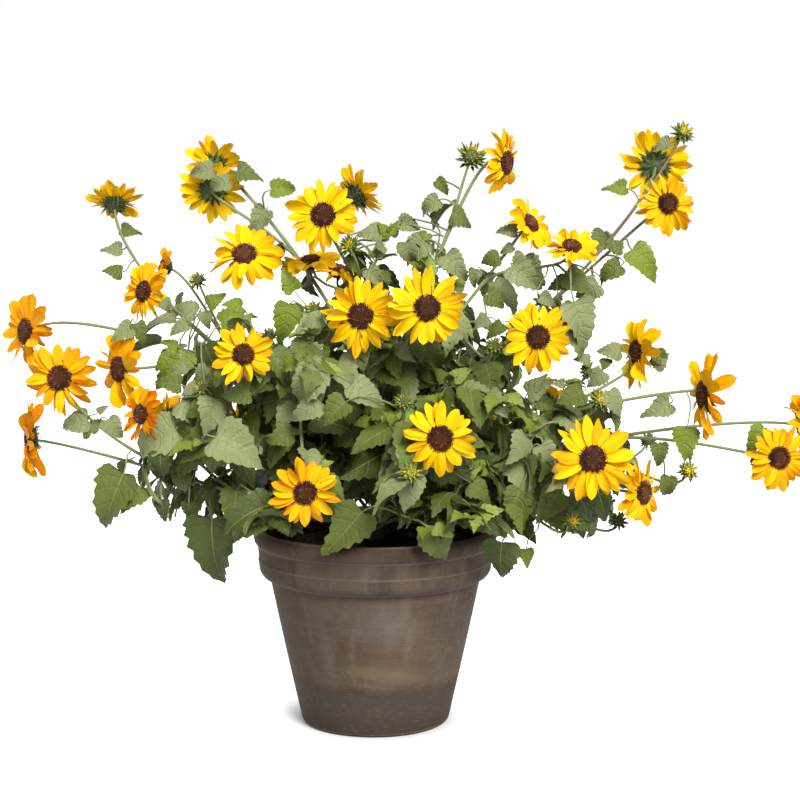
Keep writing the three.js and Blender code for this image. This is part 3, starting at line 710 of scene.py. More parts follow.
def clay_finish():
    """Weathered clay: a pale wash in upright streaks, a lip darker and redder towards its top, rust, a tide
    line, and worn edges with painted highlights along them.
    """
    finish = Finish("weathered_clay", srgb(84, 71, 59), 0.82, 0.2)
    here = finish.coords()
    parts = finish.parts(here)
    aside = finish.times(parts[0], 1 / MM)
    height = finish.times(parts[2], 1 / MM)
    front = finish.ramp(parts[1], 0.03, -0.05)
    cloud = finish.noise(here, 11.0, 5.0, 0.6, 0.5)
    smear = finish.noise(finish.stretched(here, (9.0, 9.0, 22.0)), 1.0, 5.0, 0.6, 2.2)
    streaks = finish.noise(finish.stretched(here, (50.0, 50.0, 6.0)), 1.0, 5.0, 0.6, 0.2)
    wavy = finish.noise(finish.stretched(here, (18.0, 18.0, 3.0)), 1.0, 4.0, 0.6)
    speck = finish.noise(here, 130.0, 9.0, 0.8)

    def squared_share(distance, size):
        return finish.math("POWER", finish.math("DIVIDE", distance, size), 2.0)

    def patch(x, z, wide, tall, strength, tilt=0.0):
        """A soft-edged patch on the front, centred at x and z, ragged with the smear."""
        away = finish.minus(aside, x)
        up = finish.minus(finish.minus(height, z), finish.times(away, tilt))
        far = finish.plus(squared_share(away, wide), squared_share(up, tall))
        far = finish.plus(far, finish.times(smear, 1.5))
        return finish.times(finish.times(finish.ramp(far, 1.75, 0.55), front), strength)

    def wear_and_highlight(line, share):
        """A pale line where an edge at a height is rubbed, with a painted highlight along it."""
        gap = finish.math("ABSOLUTE", finish.minus(height, line))
        return finish.times(finish.ramp(gap, 1.7, 0.3), finish.ramp(wavy, 0.3, 0.6, 0.4 * share, 1.2 * share))

    tide = finish.plus(height, finish.times(wavy, 20.0))
    tide_edge = finish.times(finish.ramp(tide, 59.0, 63.0), finish.ramp(tide, 75.0, 64.0))
    damp = finish.times(finish.ramp(wavy, 0.52, 0.64), finish.ramp(height, 160.0, 176.0))
    colour = finish.mix(finish.ramp(cloud, 0.34, 0.68), srgb(78, 62, 49), srgb(93, 79, 65))
    washes = [
        # Streaks, pale and dark, and smears.
        (finish.ramp(streaks, 0.48, 0.74, 0.0, 0.48), (113, 100, 88)),
        (finish.ramp(streaks, 0.44, 0.26, 0.0, 0.3), (67, 51, 39)),
        (finish.ramp(smear, 0.56, 0.68, 0.0, 0.22), (113, 99, 84)),
        # Patches on the front: two pale ones, a rusty one and a dull yellow one.
        (patch(16, 132, 46, 34, 0.55), (108, 96, 86)),
        (patch(-52, 96, 12, 34, 0.4, -1.1), (108, 95, 82)),
        (patch(14, 98, 60, 13, 0.4, -0.28), (86, 60, 39)),
        (patch(8, 76, 56, 12, 0.6, -0.12), (115, 98, 73)),
        # Below the tide line, the line itself and the dark foot.
        (finish.ramp(tide, 65.0, 60.0, 0.0, 0.9), (66, 57, 49)),
        (finish.times(tide_edge, 0.55), (61, 41, 29)),
        (finish.ramp(tide, 44.0, 14.0, 0.0, 0.6), (52, 44, 36)),
        # The lip, darker and redder towards its top, and damp blotches on the collar.
        (finish.ramp(height, STEP_HEIGHT - 4.0, RIM_HEIGHT, 0.0, 0.5), (80, 60, 48)),
        (finish.times(damp, 0.6), (52, 39, 30)),
        # Worn edges, with painted highlights along them.
        (wear_and_highlight(FOOT_CHAMFER, 0.6), (125, 107, 90)),
        (wear_and_highlight(COLLAR_LOW + 2.0, 0.5), (125, 107, 90)),
        (wear_and_highlight(RIDGE_HEIGHT, 0.35), (125, 107, 90)),
        (wear_and_highlight(STEP_HEIGHT + 1.0, 0.5), (125, 107, 90)),
        (wear_and_highlight(RIM_HEIGHT - 1.0, 0.5), (125, 107, 90)),
        # Specks, pale and dark.
        (finish.ramp(speck, 0.5, 0.72, 0.0, 0.3), (123, 109, 92)),
        (finish.ramp(speck, 0.48, 0.28, 0.0, 0.42), (54, 43, 33)),
    ]
    for share, tone in washes:
        colour = finish.mix(share, colour, srgb(*tone))
    finish.set("Base Color", colour)
    finish.set("Roughness", finish.ramp(cloud, 0.3, 0.7, 0.7, 0.86))
    turning = finish.noise(finish.stretched(here, (3.0, 3.0, 620.0)), 1.0, 2.0, 0.5)
    lined = finish.bump(turning, 0.0006, 0.5)
    pitted = finish.bump(finish.noise(here, 700.0, 3.0, 0.6), 0.0004, 0.5, lined)
    finish.set("Normal", finish.bump(cloud, 0.002, 0.3, pitted))
    return finish.material


def soil_finish():
    """Dark moist potting soil with paler crumbs."""
    finish = Finish("potting_soil", srgb(48, 38, 30), 0.95, 0.15)
    crumbs = finish.noise(finish.coords(), 260.0, 5.0, 0.65)
    finish.set("Base Color", finish.mix(finish.ramp(crumbs, 0.35, 0.7), srgb(32, 25, 20), srgb(74, 58, 44)))
    finish.set("Normal", finish.bump(crumbs, 0.002, 0.9))
    return finish.material


# ---- Pot --------------------------------------------------------------------------------------

BODY_SLOPE = (BODY_TOP_RADIUS - FOOT_RADIUS) / COLLAR_LOW
POT_MIDDLE = 30


def inside_radius(height):
    return FOOT_RADIUS + BODY_SLOPE * height - WALL


COLLAR_INSIDE_RADIUS = inside_radius(COLLAR_LOW) + 3


def rounded(profile, step):
    """A profile with its long stretches divided and its corners eased."""
    fine = [profile[0]]
    for (r0, z0), (r1, z1) in zip(profile, profile[1:]):
        parts = max(1, int(math.hypot(r1 - r0, z1 - z0) / step))
        fine += [(between(r0, r1, i / parts), between(z0, z1, i / parts)) for i in range(1, parts + 1)]
    fine = np.array(fine, float)
    eased = fine.copy()
    eased[1:-1] = 0.25 * fine[:-2] + 0.5 * fine[1:-1] + 0.25 * fine[2:]
    return eased


def turned(batch, profile):
    """A turned form about the upright axis, a little out of true as hand-thrown clay is."""
    angles = np.arange(POT_SIDES) * (2 * math.pi / POT_SIDES)
    radius, height = profile[:, :1], profile[:, 1:]
    waves = np.sin(2 * angles[None] + height * 0.02) + 0.5 * np.sin(5 * angles[None] + 1.3)
    radius = np.maximum(radius + POT_WAVER * waves * (radius > 60), 0.01)
    height = height + 0 * angles
    points = np.stack((radius * np.cos(angles), radius * np.sin(angles), height), axis=2)
    round_shares = np.broadcast_to(angles / FULL_TURN, height.shape)
    uvs = np.stack((round_shares, height / 230), axis=2)
    batch.add(points.reshape(-1, 3), [grid_faces(len(profile), POT_SIDES, wraps=True)], 0, uvs.reshape(-1, 2))


def make_pot():
    lip_middle = (STEP_HEIGHT + RIM_HEIGHT) / 2 + 1
    collar_outside = COLLAR_RADIUS + 1
    outside = [
        (POT_MIDDLE, 0), (FOOT_RADIUS - FOOT_CHAMFER, 0), (FOOT_RADIUS, FOOT_CHAMFER),
        (BODY_TOP_RADIUS, COLLAR_LOW), (COLLAR_RADIUS - 4, COLLAR_LOW + 3), (COLLAR_RADIUS, COLLAR_LOW + 9),
        (collar_outside, RIDGE_HEIGHT - 1.5), (collar_outside + RIDGE_PROUD, RIDGE_HEIGHT),
        (collar_outside, RIDGE_HEIGHT + 1.5), (collar_outside + 1, STEP_HEIGHT - 1),
        (collar_outside + 2, STEP_HEIGHT + 1), (LIP_RADIUS - 1, STEP_HEIGHT + 4), (LIP_RADIUS, lip_middle),
        (LIP_RADIUS - 1, RIM_HEIGHT - 5), (LIP_RADIUS - 3, RIM_HEIGHT - 2), (LIP_RADIUS - 7, RIM_HEIGHT),
    ]
    inside = [
        (RIM_INSIDE_RADIUS + 2, RIM_HEIGHT - 1), (RIM_INSIDE_RADIUS, RIM_HEIGHT - 6),
        (COLLAR_INSIDE_RADIUS, COLLAR_LOW), (inside_radius(FLOOR_THICKNESS), FLOOR_THICKNESS),
        (POT_MIDDLE, FLOOR_THICKNESS),
    ]
    pot = Batch()
    turned(pot, rounded(outside + inside, POT_STEP))
    pot.build("pot_body", [clay_finish()], "clay", ["pot"])


# ---- The plan of the limbs: the source's rule ---------------------------------------------------

stem_foot = UP * (SOIL_HEIGHT + CLEARANCE)
stem_rise = STEM_HEIGHT - stem_foot[2]
stem_curve = Curve(
    stem_foot,
    (0, 0, stem_foot[2] + stem_rise / 3),
    (*STEM_LEAN, stem_foot[2] + 2 * stem_rise / 3),
    (*STEM_LEAN, STEM_HEIGHT),
)


def on_stem(height):
    return stem_curve.point((height - stem_foot[2]) / stem_rise)


def stem_radius(share):
    flare = max(0.0, 1 - share / FLARE_LENGTH)
    return between(STEM_RADIUS, STEM_TIP_RADIUS, share) + (STEM_FOOT_RADIUS - STEM_RADIUS) * flare * flare


def stalk_curve(start, leaving, place, facing, bow):
    reach = float(np.linalg.norm(place - start))
    neck = min(NECK_LENGTH, 0.4 * reach)
    back = place - facing * (0.6 * CALYX_DEPTH)
    return Curve(start, start + leaving * (BOUGH_RISE * reach) + UP * bow,
                 back - facing * neck + UP * (0.5 * bow - 0.1 * neck), back)


def stalk_place(spine, place):
    places = np.linspace(0, 1, 25)
    nearest = places[np.argmin(np.linalg.norm(spine.point(places) - place, axis=1))]
    return min(max(nearest - STALK_BACKSTEP, BOUGH_SHARE + 0.04), LAST_STALK)


def read_shoots():
    shoots = []
    for index, (name, shoot) in enumerate(SHOOTS.items()):
        ends = []
        for x, y, z, compass, lift, width, cup in shoot["heads"]:
            ends.append({"kind": "head", "place": np.array((x, y, z), float),
                         "facing": heading(compass, lift), "width": width, "cup": cup})
        for x, y, z, width in shoot["buds"]:
            facing = unit(unit(np.array((x, y, 0.0))) * 0.5 + UP)
            ends.append({"kind": "bud", "place": np.array((x, y, z), float), "facing": facing,
                         "width": width, "cup": 0})
        x, y, z = ends[0]["place"]
        shoots.append({"name": name, "index": index, "group": shoot["group"], "bow": shoot["bow"],
                       "ends": ends, "steepness": (z - SOIL_HEIGHT) / math.hypot(x, y)})
        for end in ends:
            end["shown"] = shoot["group"] != "back"
    for rank, shoot in enumerate(sorted(shoots, key=lambda one: one["steepness"])):
        foot = on_stem(between(FIRST_BOUGH_HEIGHT, LAST_BOUGH_HEIGHT, rank / (len(shoots) - 1)))
        first = shoot["ends"][0]
        chord = first["place"] - foot
        chord[2] = min(chord[2], STEEPEST * math.hypot(chord[0], chord[1]))
        spine = stalk_curve(foot, unit(chord), first["place"], first["facing"], shoot["bow"])
        shoot["spine"] = spine
        shoot["stalks"] = []
        for end in shoot["ends"][1:]:
            at = stalk_place(spine, end["place"])
            stalk = stalk_curve(spine.point(at), spine.tangent(at), end["place"], end["facing"], 0)
            shoot["stalks"].append(stalk)
    return shoots


def box_along(start, end, half_width, near):
    half = np.array((half_width, np.linalg.norm(end - start) / 2, half_width))
    return (start + end) / 2, half, basis(end - start, near)


def boxes_along(curve, start, end, radius, count):
    axis = curve.bend_axis()
    ends = curve.point(np.linspace(start, end, count + 1))
    return [box_along(a, b, radius, axis) for a, b in zip(ends, ends[1:])]


def head_boxes(end):
    facing, place, half = end["facing"], end["place"], end["width"] / 2
    rim = place + facing * (half * math.sin(math.radians(end["cup"])))
    return [
        box_along(place - facing * CALYX_DEPTH, place + facing * (DISC_CROWN + 1), CALYX_RADIUS + 2, UP),
        box_along(rim - facing * 3, rim + facing * 4, 0.86 * half, UP),
    ]


def meets_any(box, others):
    """Whether a turned box meets any of a list of them, by the fifteen separating directions."""
    centre, half, axes = box
    centres = np.array([other[0] for other in others])
    halves = np.array([other[1] for other in others])
    turn = np.einsum("ki,nkj->nij", axes, np.array([other[2] for other in others]))
    size = np.abs(turn) + 1e-12
    offset = (centres - centre) @ axes
    apart = (np.abs(offset) > half + np.einsum("nij,nj->ni", size, halves)).any(1)
    back = np.abs(np.einsum("ni,nij->nj", offset, turn))
    apart |= (back > halves + np.einsum("i,nij->nj", half, size)).any(1)
    for i in range(3):
        for j in range(3):
            i1, i2, j1, j2 = (i + 1) % 3, (i + 2) % 3, (j + 1) % 3, (j + 2) % 3
            mine = half[i1] * size[:, i2, j] + half[i2] * size[:, i1, j]
            theirs = halves[:, j1] * size[:, i, j2] + halves[:, j2] * size[:, i, j1]
            apart |= np.abs(offset[:, i2] * turn[:, i1, j] - offset[:, i1] * turn[:, i2, j]) > mine + theirs
    return bool((~apart).any())


def read_sprays(shoots):
    """The leafy sprays round the stem, each turned step by step until it clears what is there."""
    taken = []
    for shoot in shoots:
        taken += boxes_along(shoot["spine"], 0.02, BOUGH_SHARE, BOUGH_RADIUS + CLEARANCE, BOUGH_RINGS)
        taken += boxes_along(shoot["spine"], BOUGH_SHARE, 1, BOUGH_TIP_RADIUS + CLEARANCE, TWIG_RINGS)
        for stalk in shoot["stalks"]:
            taken += boxes_along(stalk, 0, 1, STALK_RADIUS + CLEARANCE, STALK_RINGS)
        for end in shoot["ends"]:
            taken += head_boxes(end)
    sprays = []
    for ring in SPRAY_RINGS:
        for number in range(ring["count"]):
            for attempt in range(SPRAY_TRIES):
                foot = on_stem(ring["height"] + ring["climb"] * (number + attempt % 3))
                side = 1 if attempt % 2 == 0 else -1
                compass = (ring["compass"] + 360 / ring["count"] * number
                           + side * SPRAY_TURN * math.ceil(attempt / 2))
                level = heading(compass)
                reach = ring["reach"] * (1 + ring["wide"] * abs(level[0]))
                rise, bow = ring["rise"], ring["bow"]
                curve = Curve(foot, foot + level * (0.3 * reach) + UP * (0.5 * rise + bow),
                              foot + level * (0.7 * reach) + UP * (rise + bow),
                              foot + level * reach + UP * rise)
                root = SPRAY_ROOT / curve.length
                boxes = boxes_along(curve, root, 1, SPRAY_RADIUS + 2 * CLEARANCE, TWIG_RINGS)
                if not any(meets_any(box, taken) for box in boxes):
                    break
            else:
                raise RuntimeError("no room for a spray")
            taken += boxes
            sprays.append({"node": f"spray_{ring['name']}_{number + 1}", "curve": curve})
    return sprays


shoots = read_shoots()
sprays = read_sprays(shoots)
heads = [end for shoot in shoots for end in shoot["ends"]]

# ---- Leaves -----------------------------------------------------------------------------------

# A leaf's half outline, from its base to its tip: how far out and how far along the margin is, and
# where on the midrib the vein to that place leaves it. All are shares of the blade's length.
OUTLINE_PLACES = (0, 0.07, 0.16, 0.26, 0.36, 0.48, 0.62, 0.76, 0.89, 1)
OUTLINE_OUT = (0.0, 0.13, 0.25, 0.335, 0.36, 0.335, 0.26, 0.165, 0.07, 0.0)
OUTLINE_ALONG = (0.01, -0.05, -0.05, 0.02, 0.13, 0.28, 0.47, 0.67, 0.86, 1.0)
OUTLINE_RIB = (0.0, 0.0, 0.005, 0.015, 0.05, 0.13, 0.29, 0.51, 0.76, 1.0)
# The point that closes a leaf or a petal at its tip.
TIP = np.array((0.0,)), np.array((1.0,)), np.array((0.0,))


def leaf_form(seed):
    """A toothed heart-shaped blade of length 1: an upper and a lower skin, and a rib on each."""
    places = np.linspace(LEAF_FIRST, 1, LEAF_ROWS + 1)[:-1]
    out = np.interp(places, OUTLINE_PLACES, OUTLINE_OUT) * spread(0.92, 1.2, seed, 1)
    ahead = np.interp(places, OUTLINE_PLACES, OUTLINE_ALONG)
    rib = np.interp(places, OUTLINE_PLACES, OUTLINE_RIB)
    odd = np.arange(LEAF_ROWS) % 2
    on_vein = np.arange(LEAF_ROWS)[:, None] % VEIN_EVERY == 0
    swell = np.sin(np.pi * np.clip(places * 1.05, 0, 1)) ** 0.7
    teeth = np.array([[spread(0.01, 0.052, seed, row, side) for row in range(LEAF_ROWS)] for side in (0, 1)])
    teeth *= np.where(odd, 1.0, -0.45) * swell
    fold = spread(0.05, 0.6, seed, 2)
    arch = spread(0.1, 1.1, seed, 3)
    bend = spread(0.3, 1.5, seed, 4)
    twist = spread(-0.5, 0.5, seed, 5)
    sway = spread(-0.16, 0.16, seed, 6)
    frill = spread(0.025, 0.07, seed, 7)
    puckers = spread(0.001, 0.0045, seed, 10)

    f = np.broadcast_to(np.linspace(-1, 1, LEAF_COLUMNS), (LEAF_ROWS, LEAF_COLUMNS))
    side = np.where(f < 0, teeth[0][:, None], teeth[1][:, None]) * (np.abs(f) > 0.9)
    x = f * (out[:, None] + side)
    y = rib[:, None] + (ahead - rib)[:, None] * np.abs(f) ** 1.25 + 0.6 * side
    rise = fold * np.abs(x) - arch * x * x
    phase = np.where(f < 0, spread(0, 6, seed, 8), spread(0, 6, seed, 9))
    rise = rise + frill * np.sin(9 * places[:, None] + phase) * np.abs(f) ** 2
    rise = rise - 0.004 * on_vein * (np.abs(f) > 0.1) * swell[:, None]
    rise = rise + puckers * np.sin(23 * places[:, None] + 5 * f + phase) * (np.abs(f) > 0.1)
    x, y, rise = x.ravel(), y.ravel(), rise.ravel()
    uvs = np.column_stack((0.5 + 0.5 * np.ravel(f), np.repeat(places, LEAF_COLUMNS)))
    uvs = np.vstack((uvs, (0.5, 1.0)))
    edge = 1 - np.abs(f.ravel()) ** 4

    def skin(lift):
        return np.vstack((bent(x, y, rise + lift * edge, bend, twist, sway), bent(*TIP, bend, twist, sway)))

    rib_places = np.linspace(0.0, 0.94, RIB_ROWS)
    half = 0.009 * (1 - rib_places) + 0.002
    rib_x = np.concatenate([(-w, 0, w) for w in half])
    rib_y = np.repeat(rib_places, 3)

    def ridge(lift):
        crown = np.tile((0.0, 1.0, 0.0), RIB_ROWS) * lift + fold * np.abs(rib_x) + 0.25 * lift
        return bent(rib_x, rib_y, crown, bend, twist, sway)

    return {"top": skin(0.005), "under": skin(-0.005), "uvs": uvs, "rib_top": ridge(0.012),
            "rib_under": ridge(-0.026), "rib_uvs": np.column_stack((rib_x * 10 + 0.5, rib_y))}


def turned_over(faces):
    """Faces with their corners the other way round from the same first one, so both skins fold alike."""
    return [group[:, [0, *range(group.shape[1] - 1, 0, -1)]] for group in faces]


BLADE_FACES = closed_faces(LEAF_ROWS, LEAF_COLUMNS)
RIB_FACES = [grid_faces(RIB_ROWS, 3)]
# A leaf's parts: its form and its skin's place, and its faces as grown and as mirrored.
LEAF_PARTS = (
    ("top", "uvs", BLADE_FACES, turned_over(BLADE_FACES)),
    ("under", "uvs", turned_over(BLADE_FACES), BLADE_FACES),
    ("rib_top", "rib_uvs", RIB_FACES, turned_over(RIB_FACES)),
    ("rib_under", "rib_uvs", turned_over(RIB_FACES), RIB_FACES),
)
leaf_forms = [leaf_form(LEAF_SEED + number) for number in range(LEAF_FORMS)]

leaves = {group: Batch() for group in GROUPS}
limbs = {group: Batch() for group in GROUPS}
petals = {group: Batch() for group in GROUPS}
discs = {group: Batch() for group in GROUPS}


def off_axis(away, axis):
    """How far points are along an axis, and how far beside it."""
    ahead = away @ axis
    return ahead, np.linalg.norm(away - np.outer(ahead, axis), axis=1)


def in_a_heads_view(points):
    """Whether any point is in front of a head's face or between it and the front view's eye."""
    for end in heads:
        half = end["width"] / 2 if end["kind"] == "head" else BUD_VIEW
        away = points - end["place"]
        ahead, beside = off_axis(away, end["facing"])
        if np.any((ahead > -5) & (ahead < VIEW_DEPTH) & (beside < FACE_SHARE * half)):
            return True
        if end["shown"]:
            ahead, beside = off_axis(away, unit(np.array(EYE) - end["place"]))
            if np.any((ahead > -2) & (beside < SIGHT_SHARE * half)):
                return True
    return False


def in_the_pot(points):
    """Whether any point is in the pot's wall, or hangs low in front of it."""
    x, y, z = points.T
    over_front = (z < RIM_HEIGHT + 12) & (y < 0) & (np.abs(x) < LIP_RADIUS)
    in_wall = (z < RIM_HEIGHT + 3) & (np.hypot(x, y) < LIP_RADIUS + 3)
    return bool(np.any(over_front | in_wall))


# Open places between the shoots, as seen from the front: x, z and radius on the upright plane y = 0.
# They run over the top, down the right side, under it, and then low on the left.
OPENINGS = np.array([
    (-140, 495, 12), (-118, 485, 10), (-110, 560, 12), (30, 620, 20), (85, 555, 15), (125, 580, 25),
    (125, 470, 12), (140, 480, 8), (170, 495, 10), (262, 535, 10), (285, 565, 12), (300, 490, 25),
    (255, 475, 12), (268, 455, 12), (325, 455, 12),
    (205, 405, 8), (280, 385, 8), (295, 375, 12), (300, 338, 12), (328, 348, 8), (318, 320, 12),
    (345, 310, 10), (400, 385, 12),
    (200, 205, 10), (225, 195, 15), (265, 215, 12),
    (-292, 305, 6), (-272, 242, 8), (-250, 268, 6), (-222, 243, 6), (-200, 287, 7), (-165, 268, 6),
    (-225, 378, 6), (-258, 420, 10),
], float)


def in_an_opening(points):
    """Whether any point covers one of the open places from the front."""
    eye = np.array(EYE)
    away = points - eye
    seen = eye + away * (-eye[1] / away[:, 1])[:, None]
    gaps = np.hypot(seen[:, None, 0] - OPENINGS[None, :, 0], seen[:, None, 2] - OPENINGS[None, :, 1])
    return bool(np.any(gaps < OPENINGS[:, 2]))


REACH_LOW = np.array(cad_box[0]) / MM - SIZE_SLACK
REACH_HIGH = np.array(cad_box[1]) / MM + SIZE_SLACK


def out_of_reach(points):
    return bool(np.any(points < REACH_LOW) or np.any(points > REACH_HIGH))

def add_leaf(group, root, tangent, out, droop, roll, blade, seed, tint=None):
    """A leaf on its petiole. Returns whether it found room."""
    out = unit(out)
    petiole = PETIOLE_SHARE * blade * spread(0.75, 1.35, seed, 31)
    base = root + petiole * unit(out + PETIOLE_RISE * UP + PETIOLE_LEAN * tangent)
    along = unit(out * math.cos(math.radians(droop)) - UP * math.sin(math.radians(droop)))
    near = unit(UP + spread(0.15, 1.15, seed, 38) * (FACE_OUT * outward_from(root) + FACE_FRONT * FRONT))
    near = turned_about(near, along, roll)
    if np.linalg.norm(np.cross(along, near)) < 0.2:
        near = UP
    if tint is None:
        tint = leaf_tint(root, seed)
    return lay_leaf(group, root, tangent, base, along, near, blade, seed, tint)


def leaf_tint(root, seed):
    """The leaves' own greens with painted light: deep green low down and inside, as painted shade, greyer
    where the light falls, as a painted sheen, and fresh at the twigs' ends.
    """
    if dice(seed, 35) < ODD_TINTS:
        return (FRESH, GREY, YOUNG)[int(dice(seed, 36) * 3)]
    # Painted shade and sheen: a leaf's tint follows how much light would reach it.
    light = 0.5 * (root[2] - 220) / 350 + 0.6 * reach_of(root) + spread(-0.28, 0.28, seed, 34)
    return (DEEP, MID, GREY, FRESH)[sum(light >= step for step in TINT_STEPS)]


def lay_leaf(group, root, tangent, base, along, near, blade, seed, tint, held=False):
    """A blade laid from its base along a direction, with a petiole to its limb, if there is room.

    A held leaf is laid whether there is room or not.
    """
    form = leaf_forms[int(dice(seed, 32) * LEAF_FORMS)]
    flip = dice(seed, 33) < 0.5
    mirror = np.array((-1.0, 1.0, 1.0)) if flip else np.ones(3)
    frame = basis(along, near)
    top = place_points(form["top"] * mirror, frame, base, blade)
    few = np.vstack((top[::7], top[-1:]))
    if not held and (out_of_reach(top) or in_the_pot(top) or in_an_opening(few) or in_a_heads_view(few)):
        return False
    for (part, uvs, faces, mirrored_faces), slot in zip(LEAF_PARTS, (tint, UNDERSIDE, RIB, RIB)):
        points = place_points(form[part] * mirror, frame, base, blade)
        leaves[group].add(points, mirrored_faces if flip else faces, slot, form[uvs])
    reach = np.linalg.norm(base - root)
    stalk = Curve(root, root + 0.4 * reach * unit(tangent * 0.5 + unit(base - root + TINY)),
                  base - along * 0.35 * reach, base)
    width = between(*PETIOLE_RADII, min(1, blade / FULL_GROWN))
    tube(limbs[group], stalk.point(np.linspace(0, 1, 5)), np.linspace(width, 0.75 * width, 5), 4,
         GREEN if dice(seed, 37) < 0.7 else BROWN)
    return True


def off_the_limb(tangent, turn, lean):
    """A direction off a limb, turned round it and leaning up along it."""
    return basis(tangent, steady(tangent, 0.95)) @ np.array((math.cos(turn), lean, math.sin(turn)))


def leaves_along(group, curve, start, end, seed, step=1.0, size=1.0):
    """Leaves up a twig, each a golden angle on from the last, closer near the plant's middle."""
    place, number = start, 0
    while place < end:
        root, tangent = curve.point(place), curve.tangent(place)
        reach = reach_of(root)
        key = 97 * seed + 13 * number
        droop = spread(*DROOPS, key, 1)
        roll = spread(*ROLLS, key, 2)
        blade = size * between(LEAF_NEAR, LEAF_FAR, reach) * spread(*LENGTHS, key, 3)
        for quarter in range(4):
            out = off_the_limb(tangent, math.radians(GOLDEN_ANGLE * (number + 7 * seed) + 90 * quarter), 0.55)
            out[2] = 0
            out = unit(out + TINY) + 0.3 * outward_from(root)
            if add_leaf(group, root, tangent, out, droop, roll, blade, key + quarter):
                break
        stride = step * between(LEAF_STEP_NEAR, LEAF_STEP_FAR, reach) * spread(0.75, 1.25, key, 4)
        place += stride / curve.length
        number += 1


def tuft(group, curve, seed, size):
    """The young leaves at a twig's tip."""
    tip, along = curve.point(1.0), curve.tangent(1.0)
    for number in range(TUFT_LEAVES):
        out = unit(heading(number * 95 + 40 * dice(seed, number)) + 0.8 * along)
        droop = spread(*YOUNG_DROOPS, seed, number, 1)
        roll = spread(*YOUNG_ROLLS, seed, number, 2)
        blade = size * spread(*YOUNG_LENGTHS, seed, number, 3)
        tint = YOUNG if number < 2 else FRESH
        add_leaf(group, tip, along, out, droop, roll, blade, 41 * seed + number, tint)


def side_twigs(group, curve, start, end, seed, step=1.0, longest=TWIG_LENGTH):
    """Leafy side twigs that leave a limb at a golden angle and rise."""
    place, number = start, 0
    while place < end:
        root, tangent = curve.point(place), curve.tangent(place)
        reach = reach_of(root)
        key = 131 * seed + 17 * number
        leaving = off_the_limb(tangent, math.radians(GOLDEN_ANGLE * number + 360 * dice(seed, 5)), 0.8)
        leaving = unit(unit(leaving) + 0.35 * outward_from(root) + 0.25 * UP)
        length = longest * spread(0.5, 1.0, key, 1) * between(1.0, 0.6, reach)
        twig = Curve(root, root + leaving * 0.35 * length, root + leaving * 0.7 * length + UP * 0.06 * length,
                     root + leaving * 0.95 * length + UP * 0.2 * length)
        path = twig.point(np.linspace(0, 1, 7))
        if not (in_the_pot(path) or out_of_reach(path) or in_a_heads_view(path)):
            tone = GREEN if dice(key, 2) < 0.6 else OLIVE
            tube(limbs[group], path, np.linspace(*TWIG_RADII, 7), 5, tone, 0.04)
            leaves_along(group, twig, 0.22, 0.92, key, 0.85, TWIG_LEAF_SIZE)
            tuft(group, twig, key, TWIG_TUFT)
        stride = step * between(TWIG_STEP_NEAR, TWIG_STEP_FAR, reach) * spread(0.8, 1.2, key, 3)
        place += stride / curve.length
        number += 1


